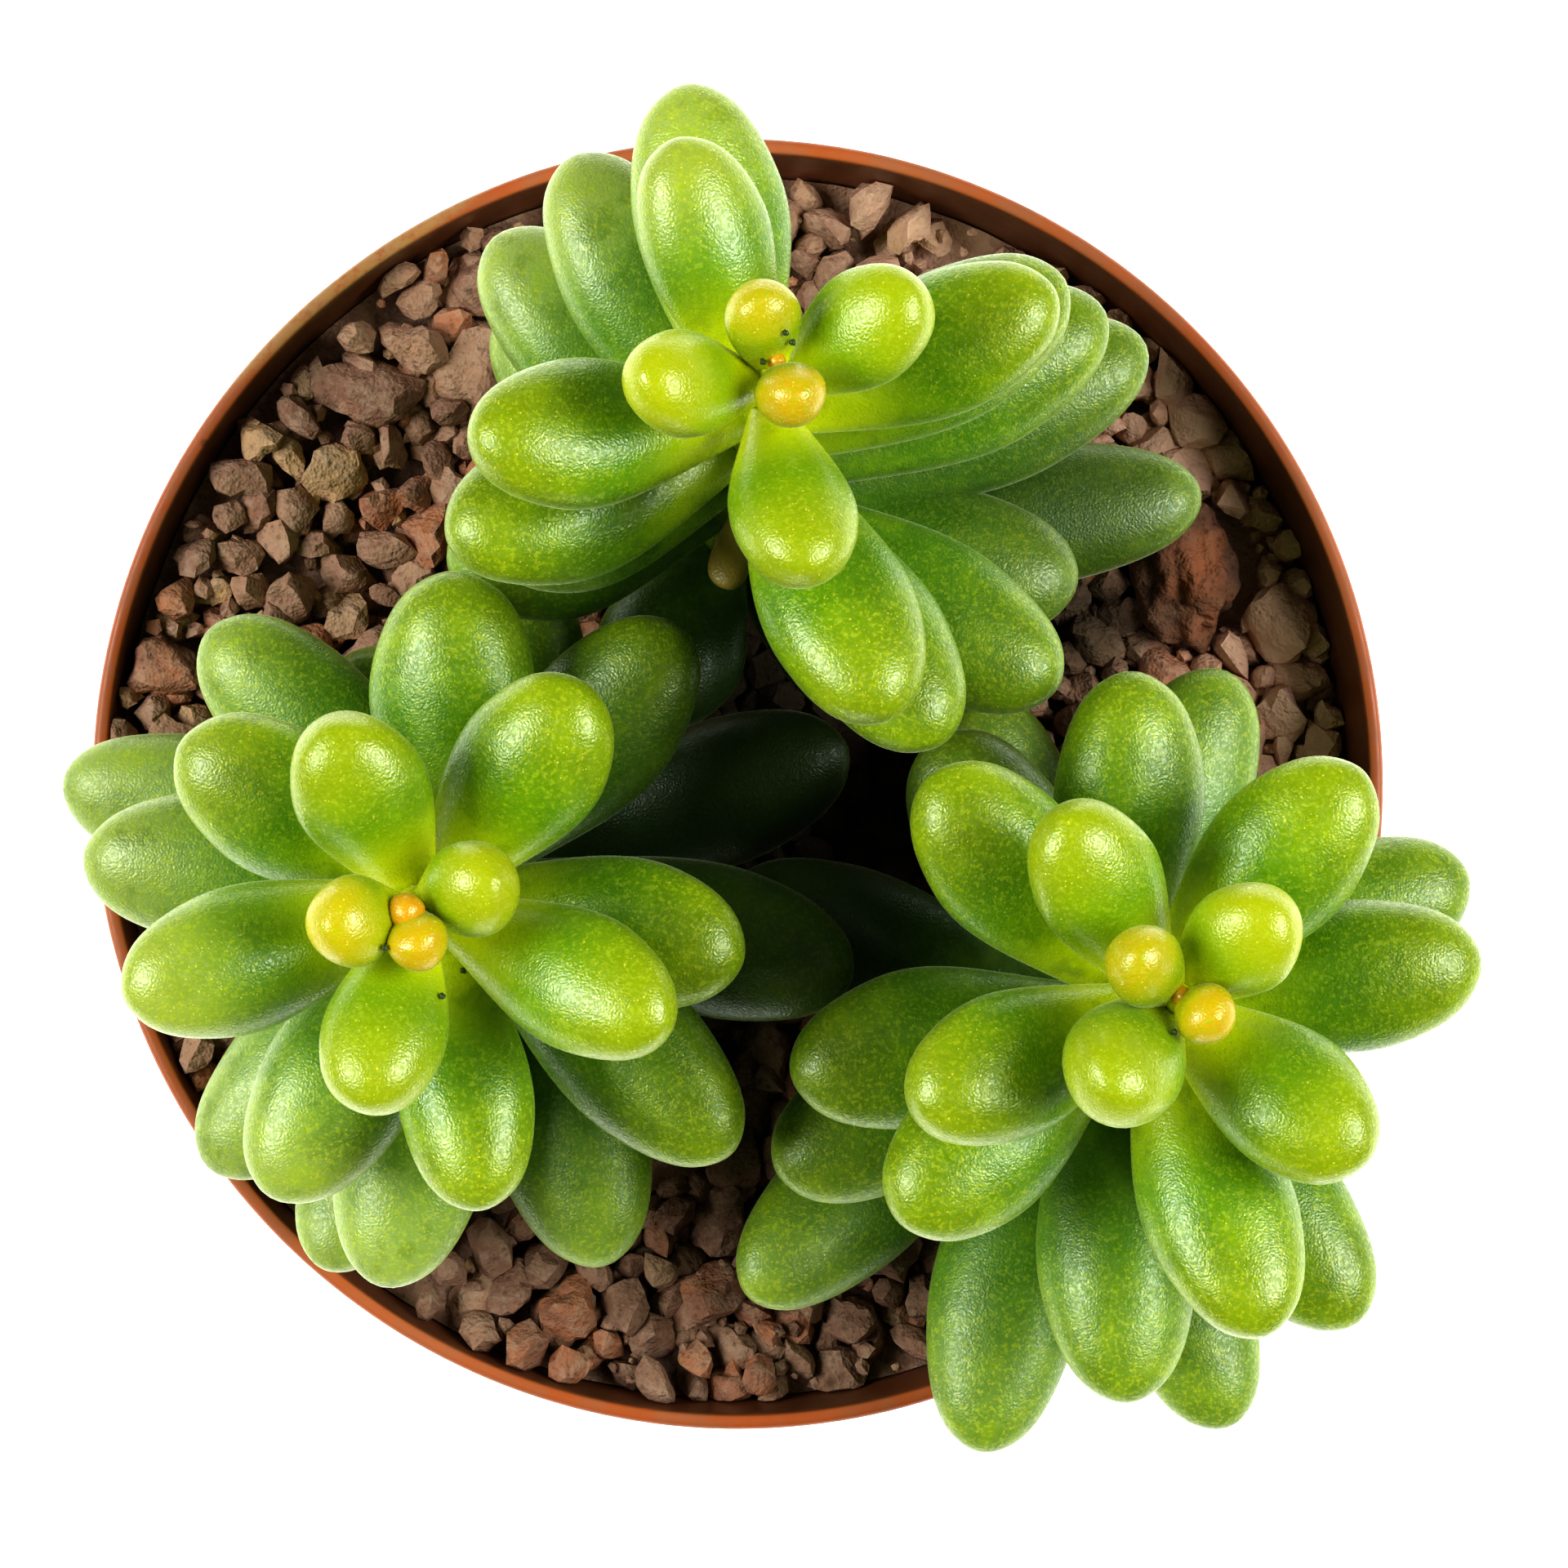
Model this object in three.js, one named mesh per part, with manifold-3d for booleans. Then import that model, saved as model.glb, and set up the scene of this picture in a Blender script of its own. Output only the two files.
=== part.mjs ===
// A potted stonecrop with plump, bean-shaped leaves: three leafy stems in a thin round nursery pot.
// Millimetres, +Z up. The origin is the centre of the flat underside of the pot.
// Seen from straight above, +X is to the right and +Y to the top of the photograph.
import * as THREE from 'three';
import { ParametricGeometry } from 'three/addons/geometries/ParametricGeometry.js';
import * as BufferGeometryUtils from 'three/addons/utils/BufferGeometryUtils.js';
import Module from 'manifold-3d';

const wasm = await Module();
wasm.setup();

// Driving dimensions of the pot
const POT_HEIGHT = 62;
const RIM_RADIUS = 35;
const BASE_RADIUS = 25.4;
const WALL = 0.9;
const FLOOR = 1.6;
const BAND_HEIGHT = 8.5;
const BAND_STEP = 0.9;
const BAND_TAPER = 0.7;
const CORNER = 1.2;
const POT_SIDES = 40;
const DRAIN = { count: 8, ring: 18.5, radius: 2.3, sides: 12 };
const GROOVE = { inner: 9, outer: 23, width: 2.4, depth: 0.6 };

// Driving dimensions of what fills the pot
const GAP = 0.3;
const MIX_TOP = 47;
const GRIT_LEVEL = 57;
const GRIT_SLOPE = 0.065;
const GRIT_FALL = 0.0018;
const GRIT_DOWNHILL = 20;
const SLAB_DEPTH = 20;
const GRAIN = { size: 1.95, spacing: 6.1, ring: 31, uneven: 0.24, lift: 0.23, stray: 0.2, vary: 0.18, seed: 11 };
const PEBBLE = { at: [24.6, 11.7, 55.8], size: [2.9, 3.8, 2.6], uneven: 0.1, detail: 1, seed: 5 };

// Driving dimensions of a leafy stem, counted along the stem down from its tip
const FIRST_LEAF = 0.5;
const LEAF_GAP = 0.9;
const GAP_GROWTH = 1.12;
const LEAF_LENGTH = { young: 1.2, gain: 15.4, rate: 4.4, power: 1.6, later: 0.17 };
const LEAF_WIDTH = { young: 1.4, gain: 6.9, rate: 3, power: 1.1 };
const LEAF_THICK = { young: 0.94, loss: 0.14, rate: 4 };
const LEAF_PITCH = { young: 19, gain: 80, rate: 4.6 };
const CROWN_LEAVES = 3;
const CROWN_END = 3.2;
const STEM_RADIUS = { peak: 0.66, tip: 1.1, green: 1.8, wood: 2.1, root: 1.2 };
const GREEN_TAIL = 2.7;
const ROOT_LENGTH = 14;
const LEAF_BEND = -20;
const LEAF_FORM = { round: 0.72, widest: 0.72, neckWidth: 0.5, neckDepth: 0.6, upper: 0.84 };
const BUD = { length: 2.4, width: 1.9, thick: 1.8, pitch: 10 };
const GOLDEN_ANGLE = 137.5;

// Mesh fineness
const LEAF_RINGS = 6;
const LEAF_SIDES = 8;
const STEM_SIDES = 8;
const STEM_STEP = 4;
const MERGE = 1e-4;

const seat = (x, y, z) => new THREE.Vector3(x, y, z);

// The three stems. tip, bend and foot steer the curve that the stem grew along, and azimuth is the
// rule by which the leaves turn round it. bud is the share of the full bud's size. own holds what one
// leaf has apart from the rules: [turn in degrees, share of the length, pitch in degrees, share of the
// width].
const STEMS = [
  {
    name: 'left', tip: seat(-15.6, -6.2, 96), bend: seat(-15, -5, 76.5), foot: seat(-10, -4, 50), leaves: 26,
    azimuth: (i) => -58 - GOLDEN_ANGLE * (i - 1), fallen: [], bud: 1,
    own: {
      1: [-12, 1.5], 2: [23, 1.2, -2], 3: [-6, 0.82, -4, 0.88], 4: [8, 1.04], 5: [2, 0.86, -2],
      6: [1, 1, 0, 0.96], 7: [0, 0.98], 8: [-7, 0.81], 9: [-2, 0.9, 0, 0.9], 10: [4, 0.82],
      11: [-18, 0.86, 0, 0.97], 12: [11, 0.95], 13: [-4, 0.85, 0, 1.1], 14: [3, 1.03], 15: [-1], 16: [9, 0.9],
      17: [-4, 1.09, 0, 1.05], 18: [12, 0.95], 19: [0, 1.04, -6], 20: [17, 1.05], 21: [10, 0.8],
      22: [-8, 1.05, 0, 1.1], 23: [11, 1.14, -5], 24: [0, 0.95], 25: [5, 1.12, -15], 26: [20, 0.7, -23],
    },
  },
  {
    name: 'right', tip: seat(21.6, -10.3, 98), bend: seat(20, -11, 78.5), foot: seat(15, -14, 50), leaves: 28,
    azimuth: (i) => -58 - GOLDEN_ANGLE * (i - 1), fallen: [27], bud: 0.55,
    own: {
      1: [20, 1.4], 2: [-22, 1.15, -4, 0.9], 3: [16, 1], 4: [-22, 0.93, -18, 0.97], 5: [12, 0.91, 0, 0.95],
      6: [-15, 0.88], 7: [6, 0.89], 8: [-11, 0.9], 9: [5], 10: [-9, 0.87], 11: [0, 0.93], 12: [-8, 0.88],
      13: [-2, 0.88], 14: [-9, 1.04], 15: [15, 0.9], 16: [-19, 1], 17: [9, 1.03, 0, 1.05], 18: [-2, 0.83],
      19: [-30, 0.8], 20: [-3, 0.93], 21: [-5, 0.95], 22: [-6, 1.12], 23: [5, 0.95, 3], 24: [0, 0.94, -3],
      25: [15, 1.12, 0, 1.07], 26: [0, 0.85], 28: [31, 1.05, -5],
    },
  },
  {
    name: 'top', tip: seat(2.1, 20, 99), bend: seat(0, 15, 78.5), foot: seat(-2, 9, 50), leaves: 25,
    azimuth: (i) => -80 + [0, 190, -92, 95][(i - 1) % 4] + 3 * Math.floor((i - 1) / 4), fallen: [], bud: 0.5,
    own: {
      1: [4, 1.8, 8, 1.12], 2: [0, 1.05, -8, 0.85], 3: [8, 1.15, 0, 0.95], 4: [11, 0.9, -8, 0.92],
      5: [-6, 0.9, 0, 0.9], 6: [-2, 0.92, 0, 0.93], 7: [2, 0.96], 8: [4, 0.93, 0, 0.95], 9: [4, 0.96],
      10: [-15, 0.98], 11: [8, 0.89], 12: [8, 0.96], 13: [12, 0.94], 14: [0, 0.94], 15: [0, 0.72],
      16: [2, 1.06], 17: [34, 0.98], 18: [11, 0.92], 19: [-5, 0.76], 20: [-4, 1.16], 21: [54, 0.9],
      22: [10, 0.8], 23: [42, 0.55], 24: [-24, 1.22], 25: [25, 0.65],
    },
  },
];

// Small helpers

const radians = THREE.MathUtils.degToRad;

function ease(x) {
  const t = THREE.MathUtils.clamp(x, 0, 1);
  return t * t * (3 - 2 * t);
}

// Rises from 0 towards 1 as x passes rate
const rise = (x, rate, power = 1) => 1 - Math.exp(-((x / rate) ** power));

// A repeatable random draw between 0 and 1
function randomFrom(seed) {
  let state = seed;
  return () => {
    state = (state * 1664525 + 1013904223) % 4294967296;
    return state / 4294967296;
  };
}

// A closed surface becomes a solid: its shared points are merged and its faces are made to point out
function solid(geometry) {
  const bare = geometry.index ? geometry.clone() : BufferGeometryUtils.mergeVertices(geometry, MERGE);
  bare.deleteAttribute('normal');
  bare.deleteAttribute('uv');
  const merged = BufferGeometryUtils.mergeVertices(bare, MERGE);
  const place = merged.attributes.position;
  const [a, b, c] = [new THREE.Vector3(), new THREE.Vector3(), new THREE.Vector3()];
  const triangles = [];
  let volume = 0;
  for (let i = 0; i < merged.index.count; i += 3) {
    const corners = [0, 1, 2].map((k) => merged.index.getX(i + k));
    if (new Set(corners).size < 3) continue;
    triangles.push(corners);
    [a, b, c].forEach((corner, k) => corner.fromBufferAttribute(place, corners[k]));
    volume += a.dot(b.cross(c));
  }
  const facing = volume > 0 ? triangles : triangles.map(([p, q, r]) => [p, r, q]);
  return new wasm.Manifold(new wasm.Mesh({
    numProp: 3,
    vertProperties: new Float32Array(place.array),
    triVerts: Uint32Array.from(facing.flat()),
  }));
}

const join = (solids) => solids.reduce((whole, next) => whole.add(next));
const cut = (body, tools) => tools.reduce((rest, tool) => rest.subtract(tool), body);

// The largest piece of a solid, without the loose scraps that a cut can leave
const largest = (body) => body.decompose().reduce((a, b) => (a.volume() > b.volume() ? a : b));

// A profile of [radius, height] pairs turned about Z
function turned(profile) {
  const points = profile.map(([radius, height]) => new THREE.Vector2(radius, height));
  return solid(new THREE.LatheGeometry(points, POT_SIDES).rotateX(Math.PI / 2));
}

// Pot

const bandFoot = POT_HEIGHT - BAND_HEIGHT;
const bodyTopRadius = RIM_RADIUS - BAND_TAPER - BAND_STEP;

// Outer radius of the tapered body at a height below the band
const bodyRadius = (z) => THREE.MathUtils.mapLinear(z, CORNER, bandFoot, BASE_RADIUS, bodyTopRadius);

function pot() {
  const outside = [
    [0, 0], [BASE_RADIUS - CORNER, 0], [BASE_RADIUS - CORNER * 0.3, CORNER * 0.3], [BASE_RADIUS, CORNER],
    [bodyTopRadius, bandFoot], [RIM_RADIUS - BAND_TAPER, bandFoot + BAND_STEP * 0.6],
    [RIM_RADIUS, POT_HEIGHT - WALL * 0.4], [RIM_RADIUS - WALL * 0.25, POT_HEIGHT],
  ];
  const inside = [
    [RIM_RADIUS - WALL * 0.85, POT_HEIGHT], [RIM_RADIUS - WALL, POT_HEIGHT - WALL * 0.3],
    [RIM_RADIUS - BAND_TAPER - WALL, bandFoot + BAND_STEP], [bodyTopRadius - WALL, bandFoot + BAND_STEP * 0.3],
    [bodyRadius(FLOOR + CORNER) - WALL, FLOOR + CORNER], [BASE_RADIUS - WALL - CORNER, FLOOR], [0, FLOOR],
  ];
  const cuts = [];
  for (let k = 0; k < DRAIN.count; k += 1) {
    const turn = (2 * Math.PI * (k + 0.5)) / DRAIN.count;
    const hole = new THREE.CylinderGeometry(DRAIN.radius, DRAIN.radius, 4 * FLOOR, DRAIN.sides);
    hole.rotateX(Math.PI / 2).translate(DRAIN.ring, 0, 0).rotateZ(turn);
    const groove = new THREE.BoxGeometry(GROOVE.outer - GROOVE.inner, GROOVE.width, 2 * GROOVE.depth);
    groove.translate((GROOVE.outer + GROOVE.inner) / 2, 0, 0).rotateZ(turn);
    cuts.push(solid(hole), solid(groove));
  }
  return cut(turned([...outside, ...inside]), cuts);
}

// The room inside the pot from one height to another, clear of its wall by the gap
function room(low, high) {
  const wide = RIM_RADIUS - BAND_TAPER - WALL - GAP;
  const narrow = bodyTopRadius - WALL - GAP;
  const step = [[narrow, bandFoot + BAND_STEP * 0.2], [wide, bandFoot + BAND_STEP * 1.2]];
  const wall = [[bodyRadius(low) - WALL - GAP, low], ...step, [wide, high]];
  const plain = [[bodyRadius(low) - WALL - GAP, low], [bodyRadius(high) - WALL - GAP, high]];
  return turned([[0, low], ...(high > bandFoot ? wall : plain), [0, high]]);
}

// Stems and leaves

// The path of a stem: a curve from its tip to its foot, then a straight root.
// It gives the point and the direction towards the tip at a distance down from the tip.
function pathOf(stem) {
  const curve = new THREE.QuadraticBezierCurve3(stem.tip, stem.bend, stem.foot);
  const length = curve.getLength();
  const end = curve.getTangentAt(1);
  const at = (down) => {
    const share = THREE.MathUtils.clamp(down / length, 0, 1);
    const point = curve.getPointAt(share).addScaledVector(end, Math.max(0, down - length));
    return { point, along: curve.getTangentAt(share).negate() };
  };
  return { length, at };
}

// A round rod along a stem's path between two distances from the tip, fattened by extra
function rod(path, from, to, radiusAt, extra = 0) {
  const steps = Math.max(2, Math.round((to - from) / STEM_STEP));
  const stacks = steps + 2;
  const surface = (around, run, target) => {
    const station = THREE.MathUtils.clamp(Math.round(run * stacks) - 1, 0, steps);
    const closed = run < 0.5 / stacks || run > 1 - 0.5 / stacks;
    const down = THREE.MathUtils.lerp(from - extra, to + extra, station / steps);
    const { point, along } = path.at(down);
    const side = new THREE.Vector3(1, 0, 0).addScaledVector(along, -along.x).normalize();
    const across = new THREE.Vector3().crossVectors(along, side);
    const radius = closed ? 0 : radiusAt(down) + extra;
    const angle = 2 * Math.PI * around;
    target.copy(point).addScaledVector(side, radius * Math.cos(angle));
    target.addScaledVector(across, radius * Math.sin(angle));
  };
  return solid(new ParametricGeometry(surface, STEM_SIDES, stacks));
}

// One leaf: a bean that widens from a narrow root to its blunt end and curves up a little.
// out is the way it grows from the stem, pitch the angle between it and the stem's tip.
function leaf({ root, along, azimuth, length, width, thick, pitch }, extra = 0) {
  const out = new THREE.Vector3(Math.cos(azimuth), Math.sin(azimuth), 0);
  out.addScaledVector(along, -out.dot(along)).normalize();
  const side = new THREE.Vector3().crossVectors(along, out);
  const bend = radians(LEAF_BEND);
  const face = new THREE.Vector3();
  const surface = (around, run, target) => {
    const turn = Math.PI * run;
    const t = (1 - Math.cos(turn)) / 2;
    const lean = pitch + bend * t;
    const swell = Math.sin(turn) ** LEAF_FORM.round;
    const full = ease(t / LEAF_FORM.widest);
    const half = ((width + 2 * extra) / 2) * swell * THREE.MathUtils.lerp(LEAF_FORM.neckWidth, 1, full);
    const deep = ((thick + 2 * extra) / 2) * swell * THREE.MathUtils.lerp(LEAF_FORM.neckDepth, 1, full);
    const angle = 2 * Math.PI * around;
    const bulge = Math.sin(angle) > 0 ? LEAF_FORM.upper : 2 - LEAF_FORM.upper;
    const reach = (length + extra) / bend;
    face.copy(along).multiplyScalar(Math.sin(lean)).addScaledVector(out, -Math.cos(lean));
    target.copy(root).addScaledVector(out, reach * (Math.cos(pitch) - Math.cos(lean)));
    target.addScaledVector(along, reach * (Math.sin(lean) - Math.sin(pitch)));
    target.addScaledVector(side, half * Math.cos(angle));
    target.addScaledVector(face, deep * bulge * Math.sin(angle));
  };
  return solid(new ParametricGeometry(surface, LEAF_SIDES, LEAF_RINGS));
}

// How far down the stem leaf i grows, 1 being the youngest
const leafPlace = (i) => FIRST_LEAF + LEAF_GAP * (i - 1) ** GAP_GROWTH;

// Place and size of leaf i of a stem. 0 is the bud at the very tip.
function leafOf(stem, path, i) {
  const [turn = 0, share = 1, tip = 0, wide = 1] = stem.own[i] ?? [];
  const down = i === 0 ? 0 : leafPlace(i);
  const { point: root, along } = path.at(down);
  if (i === 0) {
    const [length, width, thick] = [BUD.length, BUD.width, BUD.thick].map((size) => size * stem.bud);
    const azimuth = radians(stem.azimuth(1) + 180);
    return { root, along, azimuth, length, width, thick, pitch: radians(BUD.pitch) };
  }
  const grown = LEAF_LENGTH.gain * rise(i, LEAF_LENGTH.rate, LEAF_LENGTH.power) + LEAF_LENGTH.later * i;
  const width = (LEAF_WIDTH.young + LEAF_WIDTH.gain * rise(i, LEAF_WIDTH.rate, LEAF_WIDTH.power)) * wide;
  return {
    root, along, width,
    azimuth: radians(stem.azimuth(i) + turn),
    length: (LEAF_LENGTH.young + grown) * share,
    thick: width * (LEAF_THICK.young - LEAF_THICK.loss * rise(i, LEAF_THICK.rate)),
    pitch: radians(LEAF_PITCH.young + LEAF_PITCH.gain * rise(i, LEAF_PITCH.rate) + tip),
  };
}

// The three bodies of a stem: the crown of the youngest leaves, the green leafy stretch and the woody foot
function plant(stem) {
  const path = pathOf(stem);
  const numbers = Array.from({ length: stem.leaves + 1 }, (_, i) => i).filter((i) => !stem.fallen.includes(i));
  const leaves = numbers.map((i) => leafOf(stem, path, i));
  const young = leaves.slice(0, CROWN_LEAVES + 1);
  const grown = leaves.slice(CROWN_LEAVES + 1);
  const greenEnd = leafPlace(stem.leaves) + GREEN_TAIL;
  const rootEnd = path.length + ROOT_LENGTH;
  const taper = (low, high, from, to) => (down) => THREE.MathUtils.mapLinear(down, low, high, from, to);
  const tipRadius = taper(0, CROWN_END, STEM_RADIUS.peak, STEM_RADIUS.tip);
  const greenRadius = taper(CROWN_END, greenEnd, STEM_RADIUS.tip, STEM_RADIUS.green);
  const woodRadius = (down) => (down < path.length
    ? STEM_RADIUS.wood
    : taper(path.length, rootEnd, STEM_RADIUS.wood, STEM_RADIUS.root)(down));
  const crown = (extra) => join([
    rod(path, 0, CROWN_END, tipRadius, extra), ...young.map((one) => leaf(one, extra)),
  ]);
  const green = (extra) => rod(path, CROWN_END + GAP, greenEnd, greenRadius, extra);
  const foliage = largest(join([green(0), ...grown.map((one) => leaf(one))]).subtract(crown(GAP)));
  const wood = (extra) => rod(path, greenEnd + GAP, rootEnd, woodRadius, extra);
  const socket = join([wood(GAP), green(GAP)]);
  return { crown: crown(0), foliage: foliage.subtract(wood(GAP / 2)), wood: wood(0), socket };
}

// Grit, pebble and potting mix

// Height of the bed of grit, which slopes down to one side and falls faster past the middle
function bedHeight(x, y) {
  const way = radians(GRIT_DOWNHILL);
  const downhill = x * Math.cos(way) + y * Math.sin(way);
  return GRIT_LEVEL - GRIT_SLOPE * downhill - GRIT_FALL * Math.max(downhill, 0) ** 2;
}

// A rough stone: a plain form with each corner pushed in or out by a random draw
function stone(form, sizes, uneven, random, extra = 0) {
  form.deleteAttribute('normal');
  form.deleteAttribute('uv');
  const block = BufferGeometryUtils.mergeVertices(form, MERGE);
  const place = block.attributes.position;
  const corner = new THREE.Vector3();
  for (let i = 0; i < place.count; i += 1) {
    corner.fromBufferAttribute(place, i).multiplyScalar(1 + uneven * (2 * random() - 1));
    place.setXYZ(i, corner.x * (sizes[0] + extra), corner.y * (sizes[1] + extra), corner.z * (sizes[2] + extra));
  }
  return block;
}

function pebble(extra = 0) {
  const ball = new THREE.IcosahedronGeometry(1, PEBBLE.detail);
  return solid(stone(ball, PEBBLE.size, PEBBLE.uneven, randomFrom(PEBBLE.seed), extra).translate(...PEBBLE.at));
}

// Grains on a loose triangular grid, each turned and sized by its own random draw
function grains() {
  const random = randomFrom(GRAIN.seed);
  const spread = () => 2 * random() - 1;
  const found = [];
  const rows = Math.ceil(GRAIN.ring / GRAIN.spacing);
  for (let row = -rows - 1; row <= rows + 1; row += 1) {
    for (let column = -rows - 1; column <= rows + 1; column += 1) {
      const x = (column + 0.5 * (row & 1) + GRAIN.stray * spread()) * GRAIN.spacing;
      const y = (row * Math.sqrt(0.75) + GRAIN.stray * spread()) * GRAIN.spacing;
      const sizes = [0, 1, 2].map(() => GRAIN.size * (1 + GRAIN.vary * spread()));
      const grain = stone(new THREE.BoxGeometry(2, 2, 2), sizes, GRAIN.uneven, random);
      grain.applyMatrix4(new THREE.Matrix4().makeRotationFromEuler(
        new THREE.Euler(Math.PI * random(), Math.PI * random(), Math.PI * random()),
      ));
      if (Math.hypot(x, y) > GRAIN.ring) continue;
      found.push(solid(grain.translate(x, y, bedHeight(x, y) + GRAIN.lift)));
    }
  }
  return found;
}

function grit(sockets) {
  const inside = room(MIX_TOP + GAP, POT_HEIGHT);
  const slab = new THREE.CylinderGeometry(RIM_RADIUS, RIM_RADIUS, SLAB_DEPTH, POT_SIDES).rotateX(Math.PI / 2);
  slab.translate(0, 0, -SLAB_DEPTH / 2);
  const place = slab.attributes.position;
  for (let i = 0; i < place.count; i += 1) {
    place.setZ(i, place.getZ(i) + bedHeight(place.getX(i), place.getY(i)));
  }
  const bed = solid(slab);
  return largest(cut(join([bed, ...grains()]).intersect(inside), sockets));
}

const mix = (sockets) => cut(room(FLOOR + GAP + CORNER, MIX_TOP), sockets);

// Assembly

const COLOURS = {
  terracotta: { color: 0xb0643f, roughness: 0.5, metalness: 0 },
  mix: { color: 0x2e221b, roughness: 1, metalness: 0 },
  lava: { color: 0x6e4f45, roughness: 0.95, metalness: 0 },
  redLava: { color: 0x7c4436, roughness: 0.95, metalness: 0 },
  bark: { color: 0x8a7355, roughness: 0.85, metalness: 0 },
  leaf: { color: 0x6c9a2c, roughness: 0.4, metalness: 0 },
  youngLeaf: { color: 0xc2c428, roughness: 0.4, metalness: 0 },
};

function mesh(name, colour, body) {
  const { vertProperties, triVerts, numProp } = body.getMesh();
  const geometry = new THREE.BufferGeometry();
  geometry.setAttribute('position', new THREE.BufferAttribute(new Float32Array(vertProperties), numProp));
  geometry.setIndex(new THREE.BufferAttribute(new Uint32Array(triVerts), 1));
  geometry.computeVertexNormals();
  const made = new THREE.Mesh(geometry, new THREE.MeshStandardMaterial(COLOURS[colour]));
  made.name = name;
  return made;
}

const plants = STEMS.map((stem) => ({ name: stem.name, ...plant(stem) }));
const sockets = plants.map((one) => one.socket);

const group = new THREE.Group();
group.add(mesh('pot', 'terracotta', pot()));
group.add(mesh('potting_mix', 'mix', mix(sockets)));
group.add(mesh('lava_grit', 'lava', grit([...sockets, pebble(GAP)])));
group.add(mesh('lava_pebble', 'redLava', pebble()));
for (const one of plants) {
  group.add(mesh(`${one.name}_woody_stem`, 'bark', one.wood));
  group.add(mesh(`${one.name}_leafy_stem`, 'leaf', one.foliage));
  group.add(mesh(`${one.name}_crown`, 'youngLeaf', one.crown));
}

export default group;
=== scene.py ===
"""A potted stonecrop with plump, bean-shaped leaves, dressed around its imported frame.

Three leafy stems stand in lava grit in a thin round nursery pot. Lengths in the classes below are in
millimetres, as on the drawing board, and become metres when a mesh is made. +Z is up, and seen from
straight above +X is to the right and +Y to the top of the picture.
"""
import logging
import math
from abc import ABC, abstractmethod
from collections.abc import Sequence
from dataclasses import dataclass, field
from enum import Enum

import bmesh
import bpy
import numpy as np
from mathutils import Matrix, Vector


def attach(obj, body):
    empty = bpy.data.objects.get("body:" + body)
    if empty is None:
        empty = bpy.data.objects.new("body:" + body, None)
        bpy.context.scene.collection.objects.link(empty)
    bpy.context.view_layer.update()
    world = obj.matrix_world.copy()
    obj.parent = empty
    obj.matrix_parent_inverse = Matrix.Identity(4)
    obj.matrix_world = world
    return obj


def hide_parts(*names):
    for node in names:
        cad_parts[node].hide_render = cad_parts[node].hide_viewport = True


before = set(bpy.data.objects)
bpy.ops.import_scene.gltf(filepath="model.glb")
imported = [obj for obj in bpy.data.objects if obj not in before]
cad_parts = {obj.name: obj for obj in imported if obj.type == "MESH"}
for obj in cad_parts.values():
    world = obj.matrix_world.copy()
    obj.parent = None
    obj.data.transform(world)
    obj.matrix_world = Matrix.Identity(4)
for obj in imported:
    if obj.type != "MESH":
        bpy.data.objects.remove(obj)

LOG = logging.getLogger("stonecrop")
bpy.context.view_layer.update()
METRES = 0.001
BODY = "root"

Colour = tuple[float, float, float]
Triple = tuple[float, float, float]
Socket = bpy.types.NodeSocket


# Arrays and meshes

def ease(x: np.ndarray) -> np.ndarray:
    """Smooth step: 3t² − 2t³ of x held between 0 and 1."""
    t = np.clip(x, 0, 1)
    return t * t * (3 - 2 * t)


def rise(x: float, rate: float, power: float = 1.0) -> float:
    """Rises from 0 towards 1 as x passes rate: 1 − exp(−(x / rate)^power)."""
    return 1 - math.exp(-((x / rate) ** power))


def unit(vectors: np.ndarray) -> np.ndarray:
    """Vectors, or rows of them, brought to length 1."""
    return vectors / np.linalg.norm(vectors, axis=-1, keepdims=True)


def ripples(points: np.ndarray, length: float, waves: int, seed: int) -> np.ndarray:
    """Uneven ground: the mean of plane waves with random directions and phases.

    Args:
        points: rows of x, y, z in millimetres.
        length: the mean wavelength in millimetres.
        waves: how many waves are laid over each other.
        seed: the seed of the random draw.

    Returns:
        One value per point, mostly between −1 and 1.
    """
    draw = np.random.default_rng(seed)
    pull = unit(draw.normal(size=(3, waves)).T).T * draw.uniform(0.6, 1.7, waves) * 2 * math.pi / length
    phase = draw.uniform(0, 2 * math.pi, waves)
    return np.sin(points @ pull + phase).sum(-1) / math.sqrt(waves)


def new_object(name: str, data: bpy.types.ID) -> bpy.types.Object:
    """Makes an object of a mesh, light or camera in the scene, at the origin."""
    made = bpy.data.objects.new(name, data)
    bpy.context.scene.collection.objects.link(made)
    return made


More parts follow.
